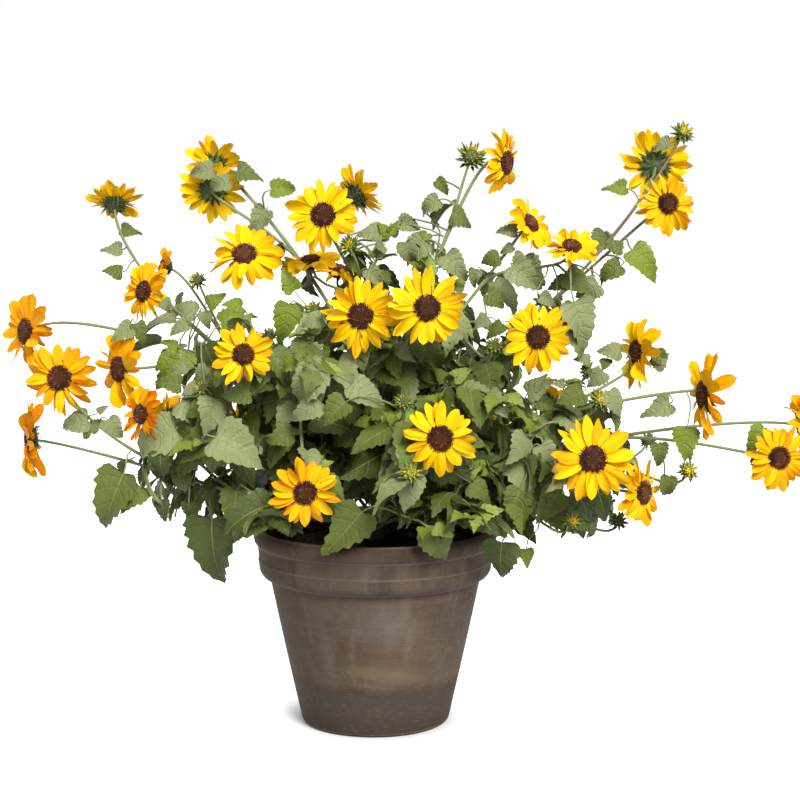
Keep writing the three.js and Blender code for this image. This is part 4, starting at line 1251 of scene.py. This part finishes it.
# Leaves that show by themselves at the crown's edge and over the pot's rim: base, tip and tint.
EDGE_LEAVES = [
    (-276, -80, 298, -308, -94, 230, MID), (-233, -95, 324, -235, -102, 292, DEEP),
    (-234, -85, 270, -230, -91, 242, DEEP), (-204, -85, 267, -206, -89, 246, DEEP),
    (-178, -90, 250, -182, -104, 168, DEEP), (-149, -115, 285, -154, -126, 234, MID),
    (-167, -150, 348, -110, -163, 322, GREY), (-218, -80, 347, -284, -92, 324, GREY),
    (-291, -90, 359, -275, -96, 336, GREY), (-302, -85, 367, -292, -88, 377, GREY),
    (-316, -70, 357, -351, -77, 350, GREY), (-313, -72, 348, -294, -76, 357, GREY),
    (-315, -76, 346, -319, -79, 332, FRESH), (-300, 95, 512, -325, 90, 515, MID),
    (-301, 105, 561, -276, 101, 557, MID), (-301, 100, 538, -327, 95, 538, GREY),
    (139, -125, 230, 131, -135, 182, DEEP), (167, -100, 218, 170, -105, 195, FRESH),
    (199, -130, 286, 172, -139, 253, MID), (157, -140, 290, 142, -148, 255, MID),
    (221, -120, 284, 239, -128, 251, DEEP), (244, -110, 283, 255, -118, 247, DEEP),
    (217, -120, 252, 236, -125, 242, MID), (329, -50, 372, 295, -57, 357, GREY),
    (347, -60, 346, 341, -68, 309, FRESH), (312, -90, 333, 314, -96, 305, MID),
    (323, -100, 298, 316, -106, 270, MID), (439, -30, 342, 413, -38, 314, FRESH),
    (426, -60, 315, 437, -65, 291, MID), (259, -60, 387, 275, -67, 357, GREY),
    (294, 30, 540, 328, 21, 506, FRESH), (292, 80, 610, 263, 74, 610, FRESH),
    (345, 100, 665, 323, 96, 656, GREY), (359, 108, 671, 375, 105, 669, GREY),
    (284, 40, 542, 260, 36, 547, MID), (-89, -40, 498, -105, -46, 523, FRESH),
    (-93, -60, 484, -100, -70, 435, FRESH), (-56, -90, 471, -81, -95, 463, GREY),
    (-58, -150, 420, -92, -161, 377, GREY), (-56, -150, 386, -89, -158, 363, GREY),
    (-29, -160, 387, -57, -167, 364, MID), (-22, -150, 405, 16, -160, 378, GREY),
    (-213, -80, 377, -183, -87, 356, GREY), (-192, 108, 632, -224, 102, 627, GREY),
    (-172, 100, 618, -203, 94, 612, GREY), (-127, 60, 586, -148, 53, 555, GREY),
    (-163, 100, 631, -129, 94, 625, MID), (-120, 60, 609, -86, 54, 613, FRESH),
    (73, 60, 597, 45, 54, 582, GREY), (88, 40, 581, 118, 34, 572, MID), (71, 70, 619, 89, 66, 605, MID),
    (218, -60, 469, 240, -70, 425, GREY), (216, 0, 516, 245, -8, 490, MID),
    (280, 20, 522, 245, 13, 507, MID), (316, -20, 427, 331, -25, 410, MID),
    (-12, -150, 268, -54, -164, 218, MID), (63, -152, 251, 82, -162, 207, MID),
    (41, -212, 318, 32, -221, 276, GREY), (56, 30, 551, 24, 22, 522, GREY),
    (63, 35, 550, 39, 30, 555, FRESH), (28, 60, 574, 53, 55, 564, GREY), (161, 15, 561, 137, 10, 568, GREY),
    (81, 10, 535, 106, 2, 503, GREY), (115, 5, 519, 108, 1, 497, GREY), (141, 10, 533, 116, 5, 528, MID),
    (156, 15, 545, 142, 12, 535, GREY), (158, 5, 534, 176, 1, 527, GREY),
    (154, -20, 524, 190, -30, 493, GREY), (185, -30, 490, 204, -34, 480, GREY),
    (219, 0, 507, 193, -5, 500, MID), (221, 10, 513, 246, 5, 506, FRESH), (253, 5, 503, 224, -2, 485, GREY),
    (212, -10, 479, 229, -14, 466, MID), (126, -20, 492, 151, -25, 481, MID),
    (126, -50, 468, 107, -54, 457, GREY), (-270, -40, 458, -296, -46, 445, GREY),
    (-265, -38, 461, -251, -44, 436, MID), (-239, -10, 485, -226, -14, 471, GREY),
    (-202, -5, 470, -227, -11, 485, GREY), (-210, -20, 459, -233, -25, 449, GREY),
    (-190, -25, 473, -189, -29, 451, GREY), (-187, 0, 478, -169, -5, 494, FRESH),
    (-172, -20, 460, -143, -27, 480, FRESH), (-148, -25, 458, -136, -29, 473, FRESH),
    (-230, -45, 425, -245, -50, 406, FRESH), (-221, -40, 436, -236, -43, 444, FRESH),
    (-187, -60, 439, -173, -67, 407, DEEP), (-207, -60, 415, -228, -64, 409, GREY),
    (-213, -70, 395, -244, -76, 400, MID), (-193, -80, 396, -213, -85, 385, GREY),
    (-134, -110, 390, -166, -117, 388, MID), (-183, -75, 416, -199, -79, 402, GREY),
    (276, -30, 429, 248, -36, 432, GREY), (254, -30, 414, 269, -33, 420, MID),
    (315, -20, 410, 330, -25, 429, GREY), (240, -45, 421, 220, -49, 423, GREY),
    (212, -40, 393, 195, -43, 394, GREY), (231, -60, 387, 201, -67, 373, MID),
    (253, -58, 409, 236, -63, 389, GREY), (7, 55, 561, -23, 49, 560, GREY), (16, 55, 556, 3, 51, 572, FRESH),
    (18, 55, 556, 26, 51, 574, FRESH), (17, 54, 556, 15, 51, 573, YOUNG), (30, 55, 569, 53, 50, 564, GREY),
    (10, 50, 544, -10, 46, 533, GREY), (35, 20, 549, 43, 13, 516, GREY), (59, 60, 555, 39, 56, 553, FRESH),
    (17, 40, 507, -3, 36, 514, MID), (-27, 30, 535, -8, 24, 509, MID), (115, -40, 467, 136, -45, 456, GREY),
    (142, -50, 461, 121, -55, 444, MID), (220, -60, 486, 242, -72, 432, GREY),
    (-257, -88, 285, -280, -96, 255, MID), (-144, -120, 325, -131, -129, 286, DEEP),
    (172, -22, 381, 204, -29, 396, GREY), (184, -24, 371, 208, -29, 363, MID),
    (179, -20, 387, 195, -25, 403, GREY), (141, -30, 354, 168, -36, 364, DEEP),
    (157, -30, 347, 176, -34, 352, MID),
]

def limb_samples(curve, group, start, end, count):
    """Places along a limb, each with its direction and its side of the plant."""
    return [(curve.point(place), curve.tangent(place), group) for place in np.linspace(start, end, count)]


def edge_leaves():
    """Lays each edge leaf, on a petiole from the nearest limb."""
    samples = []
    for shoot in shoots:
        for curve in (shoot["spine"], *shoot["stalks"]):
            samples += limb_samples(curve, shoot["group"], 0.08, 0.94, 40)
    for spray in sprays:
        samples += limb_samples(spray["curve"], "core", 0.1, 1, 30)
    points = np.array([point for point, tangent, group in samples])
    for number, row in enumerate(EDGE_LEAVES):
        base, tip = np.array(row[:3], float), np.array(row[3:6], float)
        root, tangent, group = samples[int(np.argmin(np.linalg.norm(points - base, axis=1)))]
        near = unit(FRONT + 0.45 * UP + spread(-0.35, 0.35, number, 81) * np.array((1.0, 0.0, 0.0)))
        along, blade = unit(tip - base), np.linalg.norm(tip - base)
        lay_leaf(group, root, tangent, base, along, near, blade, EDGE_LEAF_SEED + number, row[6], held=True)


# ---- Heads and buds ---------------------------------------------------------------------------

PETAL_PLACES = (0, 0.12, 0.3, 0.5, 0.68, 0.82, 0.92, 1)
PETAL_WIDTHS = (0.5, 0.72, 0.94, 1.0, 0.95, 0.76, 0.48, 0.0)


def petal_form(seed):
    """A ray petal of length 1 and full width 1, with grooves along it."""
    places = np.linspace(0, 1, PETAL_ROWS + 1)[:-1]
    widths = 0.5 * np.interp(places, PETAL_PLACES, PETAL_WIDTHS)
    f = np.broadcast_to(np.linspace(-1, 1, PETAL_COLUMNS), (PETAL_ROWS, PETAL_COLUMNS))
    y = np.repeat(places, PETAL_COLUMNS).reshape(PETAL_ROWS, PETAL_COLUMNS)
    x = f * widths[:, None]
    bend = spread(-0.1, 0.75, seed, 1)
    bend = bend if abs(bend) > 0.05 else 0.05
    twist = spread(-0.5, 0.5, seed, 2)
    cup = spread(-0.25, 0.5, seed, 3)
    sway = spread(-0.1, 0.1, seed, 4)
    z = cup * x * x * 1.6 + 0.026 * np.cos(f * 2 * np.pi) * np.sin(np.pi * np.clip(y, 0.05, 1))
    z = z + 0.02 * np.sin(7 * y + 6 * dice(seed, 5)) * f
    body = bent(x.ravel(), y.ravel(), z.ravel(), bend, twist, sway)
    tip = bent(*TIP, bend, twist, sway)
    uvs = np.vstack((np.column_stack((0.5 + 0.5 * f.ravel(), y.ravel())), (0.5, 1.0)))
    return np.vstack((body, tip)), uvs


PETAL_FACES = closed_faces(PETAL_ROWS, PETAL_COLUMNS)
petal_forms = [petal_form(PETAL_SEED + number) for number in range(PETAL_FORMS)]

BRACT_WIDTHS = (0.62, 0.95, 1.0, 0.7, 0.36)
BRACT_BENDS = (0.6, -0.7)


def bract_form(bend):
    """A pointed bract of length 1 and full width 1."""
    widths = 0.5 * np.array(BRACT_WIDTHS)
    x = np.append((np.array((-1.0, 0.0, 1.0)) * widths[:, None]).ravel(), 0.0)
    y = np.append(np.repeat(np.linspace(0, 1, BRACT_ROWS + 1)[:-1], 3), 1.0)
    return bent(x, y, 0.35 * np.abs(x), bend), np.column_stack((0.5 + x, y))


BRACT_FACES = closed_faces(BRACT_ROWS, 3)
bract_forms = [bract_form(bend) for bend in BRACT_BENDS]
# The two forms: one bends down along its length, the other up.
CURVED, HOOKED = range(2)


def spoke(face, angle, lift):
    """A frame for something that points out from a head's middle: Y out along it, Z its upper side."""
    x, y, z = face.T
    radial = math.cos(angle) * x + math.sin(angle) * z
    along = radial * math.cos(lift) + y * math.sin(lift)
    above = y * math.cos(lift) - radial * math.sin(lift)
    return radial, np.column_stack((np.cross(along, above), along, above))


def add_dome(batch, face, place, profile, sides, slot):
    """A round form about a head's axis, from a profile of (radius, height)."""
    rows = len(profile)
    angles = np.arange(sides) * (2 * math.pi / sides)
    rings = [np.column_stack((r * np.cos(angles), np.full(sides, h), r * np.sin(angles))) for r, h in profile]
    uvs = np.column_stack((np.tile(angles / FULL_TURN, rows), np.repeat(np.arange(rows) / 6, sides)))
    faces = grid_faces(rows, sides, wraps=True, reverse=True)
    batch.add(place_points(np.vstack(rings), face, place), [faces], slot, uvs)


FLORET_CORNERS = np.array(((-1, -1), (1, -1), (1, 1), (-1, 1)), float)
FLORET_FACES = [np.array(((0, 1, 5, 4), (1, 2, 6, 5), (2, 3, 7, 6), (3, 0, 4, 7), (4, 5, 6, 7)))]
FLORET_UVS = 0.1 + 0.01 * np.repeat(np.arange(8)[:, None], 2, axis=1)


def floret_kind(share, seed, number):
    """A floret's height, half width and slot, by its share of the way out from the disc's middle."""
    roll = dice(seed, number)
    if share > 0.5:
        dusted = dice(seed, number, 1) < (0.22 if share < 0.6 else 0.06)
        return 2.2 + 1.2 * roll, 0.62, POLLEN if dusted else DARK if roll < 0.55 else MAROON
    if share > 0.36 and roll > 0.4:
        return 1.0 + roll, 0.7, MAROON if roll < 0.85 else POLLEN
    return 1.0 + roll, 0.7, CENTRE if roll < 0.75 else MAROON


def add_florets(batch, face, place, radius, seed, bud=False):
    """Florets packed in a spiral: a dark ring with pollen on it and a dull green middle."""
    x, y, z = face.T
    count = BUD_FLORETS if bud else FLORETS
    for number in range(count):
        share = math.sqrt((number + 0.5) / count)
        angle = math.radians(FLORET_TURN * number)
        radial = math.cos(angle) * x + math.sin(angle) * z
        dome = 3.2 + 1.2 * math.sin(math.pi * min(1, share * 1.15)) - 2.6 * share ** 4
        if bud:
            tall, wide, slot = 2.2, 0.9, BUD_YELLOW if dice(seed, number) < 0.5 else BUD_GREEN
        else:
            tall, wide, slot = floret_kind(share, seed, number)
        axis = unit(y + 0.35 * share * radial)
        side = unit(np.cross(axis, x) if abs(np.dot(axis, x)) < 0.9 else np.cross(axis, z))
        spread_out = FLORET_CORNERS[:, :1] * side + FLORET_CORNERS[:, 1:] * np.cross(axis, side)
        foot = place + radial * (0.97 * radius * share) + y * (dome - FLORET_SUNK)
        low = foot + wide * spread_out
        high = foot + axis * (tall + FLORET_SUNK) + FLORET_TOP * wide * spread_out
        batch.add(np.vstack((low, high)), FLORET_FACES, slot, FLORET_UVS)


def add_bracts(batch, face, place, radius, rows, seed):
    """Rings of pointed bracts: count, share of the radius, height, length, width, lift, form, slot."""
    for ring, (count, share, height, length, width, lift, form, slot) in enumerate(rows):
        points, uvs = bract_forms[form]
        for number in range(count):
            angle = 2 * math.pi * (number + 0.5 * ring + 0.3 * dice(seed, ring, number)) / count
            radial, frame = spoke(face, angle, math.radians(lift + spread(-14, 14, seed, ring, number, 1)))
            size = length * spread(0.8, 1.15, seed, ring, number, 2)
            grown = points * np.array((width, size, size))
            origin = place + radial * (share * radius) + face[:, 1] * height
            batch.add(place_points(grown, frame, origin), BRACT_FACES, slot, uvs)


def turn_about_y(degrees):
    cosine, sine = math.cos(math.radians(degrees)), math.sin(math.radians(degrees))
    return np.array(((cosine, 0, sine), (0, 1, 0), (-sine, 0, cosine)))


def head_tone(place, seed):
    """How deep a head's yellow is: deeper to the sides, and deepest low in front on the left."""
    side = LEFT_TONE if place[0] < 0 else RIGHT_TONE
    tone = side * min(1.0, abs(place[0]) / TONE_REACH) ** 1.3 + 0.4 * dice(seed, 2)
    return tone + LOW_LEFT_TONE if np.all(place < LOW_LEFT) else tone


def add_petals(group, end, facing, face, disc, seed):
    """Two layers of petals round a disc. The one further from the front view is deeper in tone, as painted
    shade, and a head that faces away is a tone paler, as painted light through its petals.
    """
    place, half = end["place"], end["width"] / 2
    tone = head_tone(place, seed)
    away = facing[1] > 0
    count = PETALS_LEAST + int(PETALS_MORE * dice(seed, 1))
    for layer in range(2):
        for number in range(count):
            key = 211 * seed + 19 * number + 7 * layer
            angle = 2 * math.pi * (number + 0.5 * layer + spread(-0.26, 0.26, key, 1)) / count
            lift = math.radians(end["cup"] + spread(-12, 12, key, 2) + (6 if layer == 0 else -4))
            radial, frame = spoke(face, angle, lift)
            points, uvs = petal_forms[int(dice(key, 3) * PETAL_FORMS)]
            length = (half - PETAL_ROOT * disc) * spread(0.86, 1.18, key, 4) * (1.04 if layer == 1 else 0.98)
            width = PETAL_WIDTH * half * spread(0.78, 1.15, key, 5)
            frame = frame @ turn_about_y(spread(-16, 16, key, 6))
            grown = points * np.array((width, length, length))
            origin = place + radial * (PETAL_ROOT * disc) + facing * (1.6 - 1.2 * layer)
            # Painted shade and light: the layer further from the front view goes a tone deeper, and a head
            # facing away goes a tone paler.
            shade = tone + 0.8 * (layer != away) + 0.8 * (dice(key, 7) - 0.5) - away
            slot = int(min(len(HEAD_FINISHES) - 1, max(0, shade)))
            petals[group].add(place_points(grown, frame, origin), PETAL_FACES, slot, uvs)


def add_head(group, end, seed):
    """A flower head: its petals, its disc of florets, and its calyx under rings of bracts."""
    facing, place, half = end["facing"], end["place"], end["width"] / 2
    if place[0] > SIDE_TURN_FROM and facing[0] < -0.8:
        facing = turned_about(facing, UP, -SIDE_TURN)
    face = basis(facing, steady(facing))
    disc = DISC_SHARE * end["width"]
    add_petals(group, end, facing, face, disc, seed)
    batch = discs[group]
    cushion = [(disc, -0.5), (disc, 1.0), (0.86 * disc, 2.4), (0.5 * disc, 3.4), (0.2, 3.2)]
    calyx = [(0.2, -CALYX_DEPTH), (2.6, -CALYX_DEPTH), (5.5, -7.0),
             (0.8 * disc, -4.2), (disc, -1.4), (disc, 0.2)]
    add_dome(batch, face, place, cushion, 20, DARK)
    add_florets(batch, face, place, disc, seed)
    add_dome(batch, face, place, calyx, 18, BRACT)
    add_bracts(batch, face, place, disc, [
        (15, 0.84, -2.6, 0.3 * half, 3.4, -8, HOOKED, BRACT),
        (13, 0.76, -4.2, 0.28 * half, 3.4, -22, HOOKED, BRACT),
        (10, 0.62, -5.4, 0.24 * half, 3.4, -38, HOOKED, BRACT),
        (9, 0.4, -6.8, 0.24 * half, 3.6, 16, CURVED, BUD_BRACT),
        (6, 0.22, -8.4, 0.2 * half, 3.4, 10, CURVED, BRACT),
    ], seed)


def add_bud(group, end, seed):
    """A bud that leans to the front, or to the back where it is on a back shoot."""
    face = basis(unit(end["facing"] + (BUD_LEAN if end["shown"] else -BUD_LEAN) * FRONT), UP)
    place, half = end["place"], end["width"] / 2
    batch = discs[group]
    knob = [(0.2, -1.1 * half), (0.5 * half, -1.0 * half), (half, -0.4 * half),
            (1.02 * half, 0.1 * half), (0.8 * half, 0.45 * half), (0.2, 0.5 * half)]
    add_dome(batch, face, place, knob, 14, BRACT)
    if half > FLORET_BUD:
        add_florets(batch, face, place - face[:, 1] * 1.5, 0.8 * half, seed, bud=True)
    add_bracts(batch, face, place, 0.85 * half, [
        (9, 0.8, 0.0, 1.1 * half, 0.4 * half, 72, CURVED, BUD_YELLOW),
        (10, 1, -0.1 * half, 1.2 * half, 0.42 * half, 56, CURVED, BUD_GREEN),
        (9, 1, -0.3 * half, 1.5 * half, 0.46 * half, 34, HOOKED, BUD_BRACT),
        (8, 1, -0.5 * half, 1.55 * half, 0.46 * half, 8, HOOKED, BUD_BRACT),
        (7, 1, -0.7 * half, 1.3 * half, 0.4 * half, -18, HOOKED, BRACT),
    ], seed)


# ---- Growing the plant ------------------------------------------------------------------------


def grow_stem():
    batch = Batch()
    shares = np.linspace(0, 1, STEM_RINGS)
    points = np.vstack((stem_foot - UP * 8, stem_curve.point(shares)))
    knots = 1 + KNOT_SWELL * np.sin(shares * KNOT_TURNS) ** 8
    radii = np.concatenate(([STEM_FOOT_RADIUS * 1.15], [stem_radius(share) for share in shares] * knots))
    tube(batch, points, radii, 16, WOODY, 0.06)
    batch.build("main_stem", STEM_FINISHES, "stem", ["stem"])


def grow_shoot(shoot):
    """A shoot's spine and stalks, with their heads, buds, leaves and side twigs."""
    group, spine, index = shoot["group"], shoot["spine"], shoot["index"]
    lean = dice(index, 77)
    tone = OLIVE if lean < 0.5 else BROWN if lean < 0.6 else GREEN
    places = np.linspace(0.0, 1.0, int(spine.length / LIMB_STEP))
    radii = 0.9 * np.interp(places, (0, BOUGH_SHARE, 1), (BOUGH_RADIUS, BOUGH_TIP_RADIUS, NECK_RADIUS * 1.1))
    radii = radii * (1 + 0.05 * np.sin(places * spine.length / 7 + index))
    tube(limbs[group], spine.point(places), radii, 10, tone, 0.05, index)
    for number, stalk in enumerate(shoot["stalks"]):
        places = np.linspace(0, 1, max(6, int(stalk.length / LIMB_STEP)))
        radii = np.linspace(STALK_RADIUS * 0.9, NECK_RADIUS, len(places))
        tone_here = tone if dice(index, number, 9) < 0.5 else GREEN
        tube(limbs[group], stalk.point(places), radii, 8, tone_here, 0.05, number)
    for number, end in enumerate(shoot["ends"]):
        (add_head if end["kind"] == "head" else add_bud)(group, end, 10 * index + number + 1)
    leafy = LEAFY.get(shoot["name"], MOST_LEAFY)
    leaves_along(group, spine, SPINE_LEAVES_FROM, leafy, index)
    side_twigs(group, spine, SPINE_TWIGS_FROM, SPINE_TWIGS_SHARE * leafy, index)
    last = STALK_LEAVES_TO if leafy == MOST_LEAFY else BARE_STALK_LEAVES_TO
    for number, stalk in enumerate(shoot["stalks"]):
        leaves_along(group, stalk, STALK_LEAVES_FROM, last, 30 + 5 * index + number, 1.3, 0.85)


def grow_spray(spray, index):
    """A leafy spray of the core, with its side twigs and the tuft at its tip."""
    curve = spray["curve"]
    places = np.linspace(0.0, 1.0, 14)
    radii = np.linspace(SPRAY_RADIUS, NECK_RADIUS * 0.8, len(places))
    tube(limbs["core"], curve.point(places), radii, 8, GREEN, 0.05, index)
    leaves_along("core", curve, 0.15, 0.96, 200 + index, 0.75)
    side_twigs("core", curve, 0.2, 0.85, 300 + index, 1.1, SPRAY_TWIG_LENGTH)
    tuft("core", curve, 200 + index, SPRAY_TUFT)


# A crumb of soil: a block's corners and its faces.
CRUMB = np.array([(i, j, k) for i in (-1, 1) for j in (-1, 1) for k in (-1, 1)], float)
CRUMB_FACES = [np.array(((0, 1, 3, 2), (4, 6, 7, 5), (0, 4, 5, 1), (2, 3, 7, 6), (0, 2, 6, 4), (1, 5, 7, 3)))]


def grow_soil():
    """The soil's top, uneven and crumbly, with loose crumbs on it."""
    batch = Batch()
    rim_share = (SOIL_HEIGHT - 3 - COLLAR_LOW) / (RIM_HEIGHT - 6 - COLLAR_LOW)
    edge = between(COLLAR_INSIDE_RADIUS, RIM_INSIDE_RADIUS, rim_share) - 0.4
    radii = edge * np.linspace(0.004, 1, SOIL_RINGS)
    angles = np.arange(SOIL_SIDES) * (2 * math.pi / SOIL_SIDES)
    r, a = np.meshgrid(radii, angles, indexing="ij")
    x, y = r * np.cos(a), r * np.sin(a)
    z = SOIL_HEIGHT - 1.5 + 1.1 * np.sin(x * 0.11 + 1) * np.cos(y * 0.13)
    z = z + 0.8 * np.sin(x * 0.31) * np.sin(y * 0.27 + 2)
    z += 0.5 * np.sin(x * 0.9 + y * 0.4) * np.sin(y * 0.8 - x * 0.3)
    z -= 2.5 * np.clip((r - edge + 22) / 22, 0, 1)
    z = np.minimum(z, SOIL_HEIGHT)
    skirt = np.column_stack((edge * 0.96 * np.cos(angles), edge * 0.96 * np.sin(angles),
                             np.full(SOIL_SIDES, SOIL_HEIGHT - 30.0)))
    points = np.vstack((np.stack((x, y, z), axis=2).reshape(-1, 3), skirt))
    batch.add(points, [grid_faces(SOIL_RINGS + 1, SOIL_SIDES, wraps=True)], 0, points[:, :2] / 100)
    for number in range(SOIL_CRUMBS):
        radius = (edge - 8) * math.sqrt(dice(number, 51))
        angle = 2 * math.pi * dice(number, 52)
        size = spread(0.8, 2.8, number, 53)
        frame = basis(heading(360 * dice(number, 54), spread(-50, 50, number, 55)), UP + 0.3 * FRONT)
        jitter = 1 + 0.3 * np.array([[dice(number, i, j) - 0.5 for j in range(3)] for i in range(len(CRUMB))])
        crumb = CRUMB * jitter * (1, spread(1, 2, number, 56), 0.8)
        origin = np.array((radius * math.cos(angle), radius * math.sin(angle), SOIL_HEIGHT - 1.5))
        batch.add(place_points(crumb, frame, origin, size), CRUMB_FACES, 0, CRUMB[:, :2])
    batch.build("soil_top", [soil_finish()], "soil", ["soil"])


make_pot()
grow_stem()
for shoot in shoots:
    grow_shoot(shoot)
for index, spray in enumerate(sprays):
    grow_spray(spray, index)
edge_leaves()
grow_soil()
for group in GROUPS:
    nodes = [shoot["name"] for shoot in shoots if shoot["group"] == group]
    masses = [f"mass_{name}" for name in nodes]
    if group == "core":
        masses = [spray["node"] for spray in sprays]
    leaves[group].build(f"leaves_{group}", LEAF_FINISHES, "foliage", masses)
    limbs[group].build(f"limbs_{group}", STEM_FINISHES, "stem", [f"bough_{name}" for name in nodes])
    if petals[group].count:
        petals[group].build(f"petals_{group}", HEAD_FINISHES, "foliage")
        discs[group].build(f"discs_{group}", DISC_FINISHES, "foliage")

# ---- Floor, light and look --------------------------------------------------------------------


def make_floor():
    """A white floor that glows except round the pot's foot, which leaves a soft shadow there."""
    finish = Finish("floor_white", (0.6, 0.6, 0.6, 1), 0.9, 0.1)
    finish.set("Emission Color", (1, 1, 1, 1))
    squares = [finish.math("POWER", part, 2.0) for part in finish.parts(finish.coords())[:2]]
    away = finish.math("SQRT", finish.plus(*squares))
    finish.set("Emission Strength", finish.ramp(away, SHADOW_INNER, SHADOW_OUTER, 0.0, FLOOR_GLOW))
    corners = [(x * FLOOR_HALF, y * FLOOR_HALF, 0) for x, y in ((-1, -1), (1, -1), (1, 1), (-1, 1))]
    mesh = bpy.data.meshes.new("floor")
    mesh.from_pydata(corners, [], [(0, 1, 2, 3)])
    mesh.materials.append(finish.material)
    floor = bpy.data.objects.new("floor", mesh)
    bpy.context.scene.collection.objects.link(floor)
    floor.visible_diffuse = False


def sun(name, place, energy, degrees):
    """A sun that shines from a place towards the plant, as wide in the sky as the degrees given."""
    data = bpy.data.lights.new(name, "SUN")
    data.energy = energy
    data.angle = math.radians(degrees)
    lamp = bpy.data.objects.new(name, data)
    lamp.location = place
    direction = np.array((0, 0, 0.35)) - np.array(place)
    yaw = math.atan2(direction[0], -direction[1])
    pitch = math.atan2(math.hypot(direction[0], direction[1]), -direction[2])
    lamp.rotation_euler = (pitch, 0, yaw + math.pi)
    bpy.context.scene.collection.objects.link(lamp)


def make_world():
    """A white world, lit at full only for the camera."""
    world = bpy.data.worlds.new("studio")
    world.use_nodes = True
    nodes, links = world.node_tree.nodes, world.node_tree.links
    background = nodes["Background"]
    background.inputs[0].default_value = (1, 1, 1, 1)
    seen = nodes.new("ShaderNodeLightPath").outputs["Is Camera Ray"]
    strength = nodes.new("ShaderNodeMapRange")
    strength.inputs["To Min"].default_value = WORLD_SHARE
    links.new(seen, strength.inputs["Value"])
    links.new(strength.outputs[0], background.inputs[1])
    bpy.context.scene.world = world


make_floor()
sun("key", (1.0, -2.4, 2.5), 5.0, 28)
sun("fill", (-2.2, -1.6, 1.4), 0.4, 50)
sun("back", (-1.0, 2.6, 2.6), 1.2, 70)
make_world()
bpy.context.scene.view_settings.view_transform = "Standard"
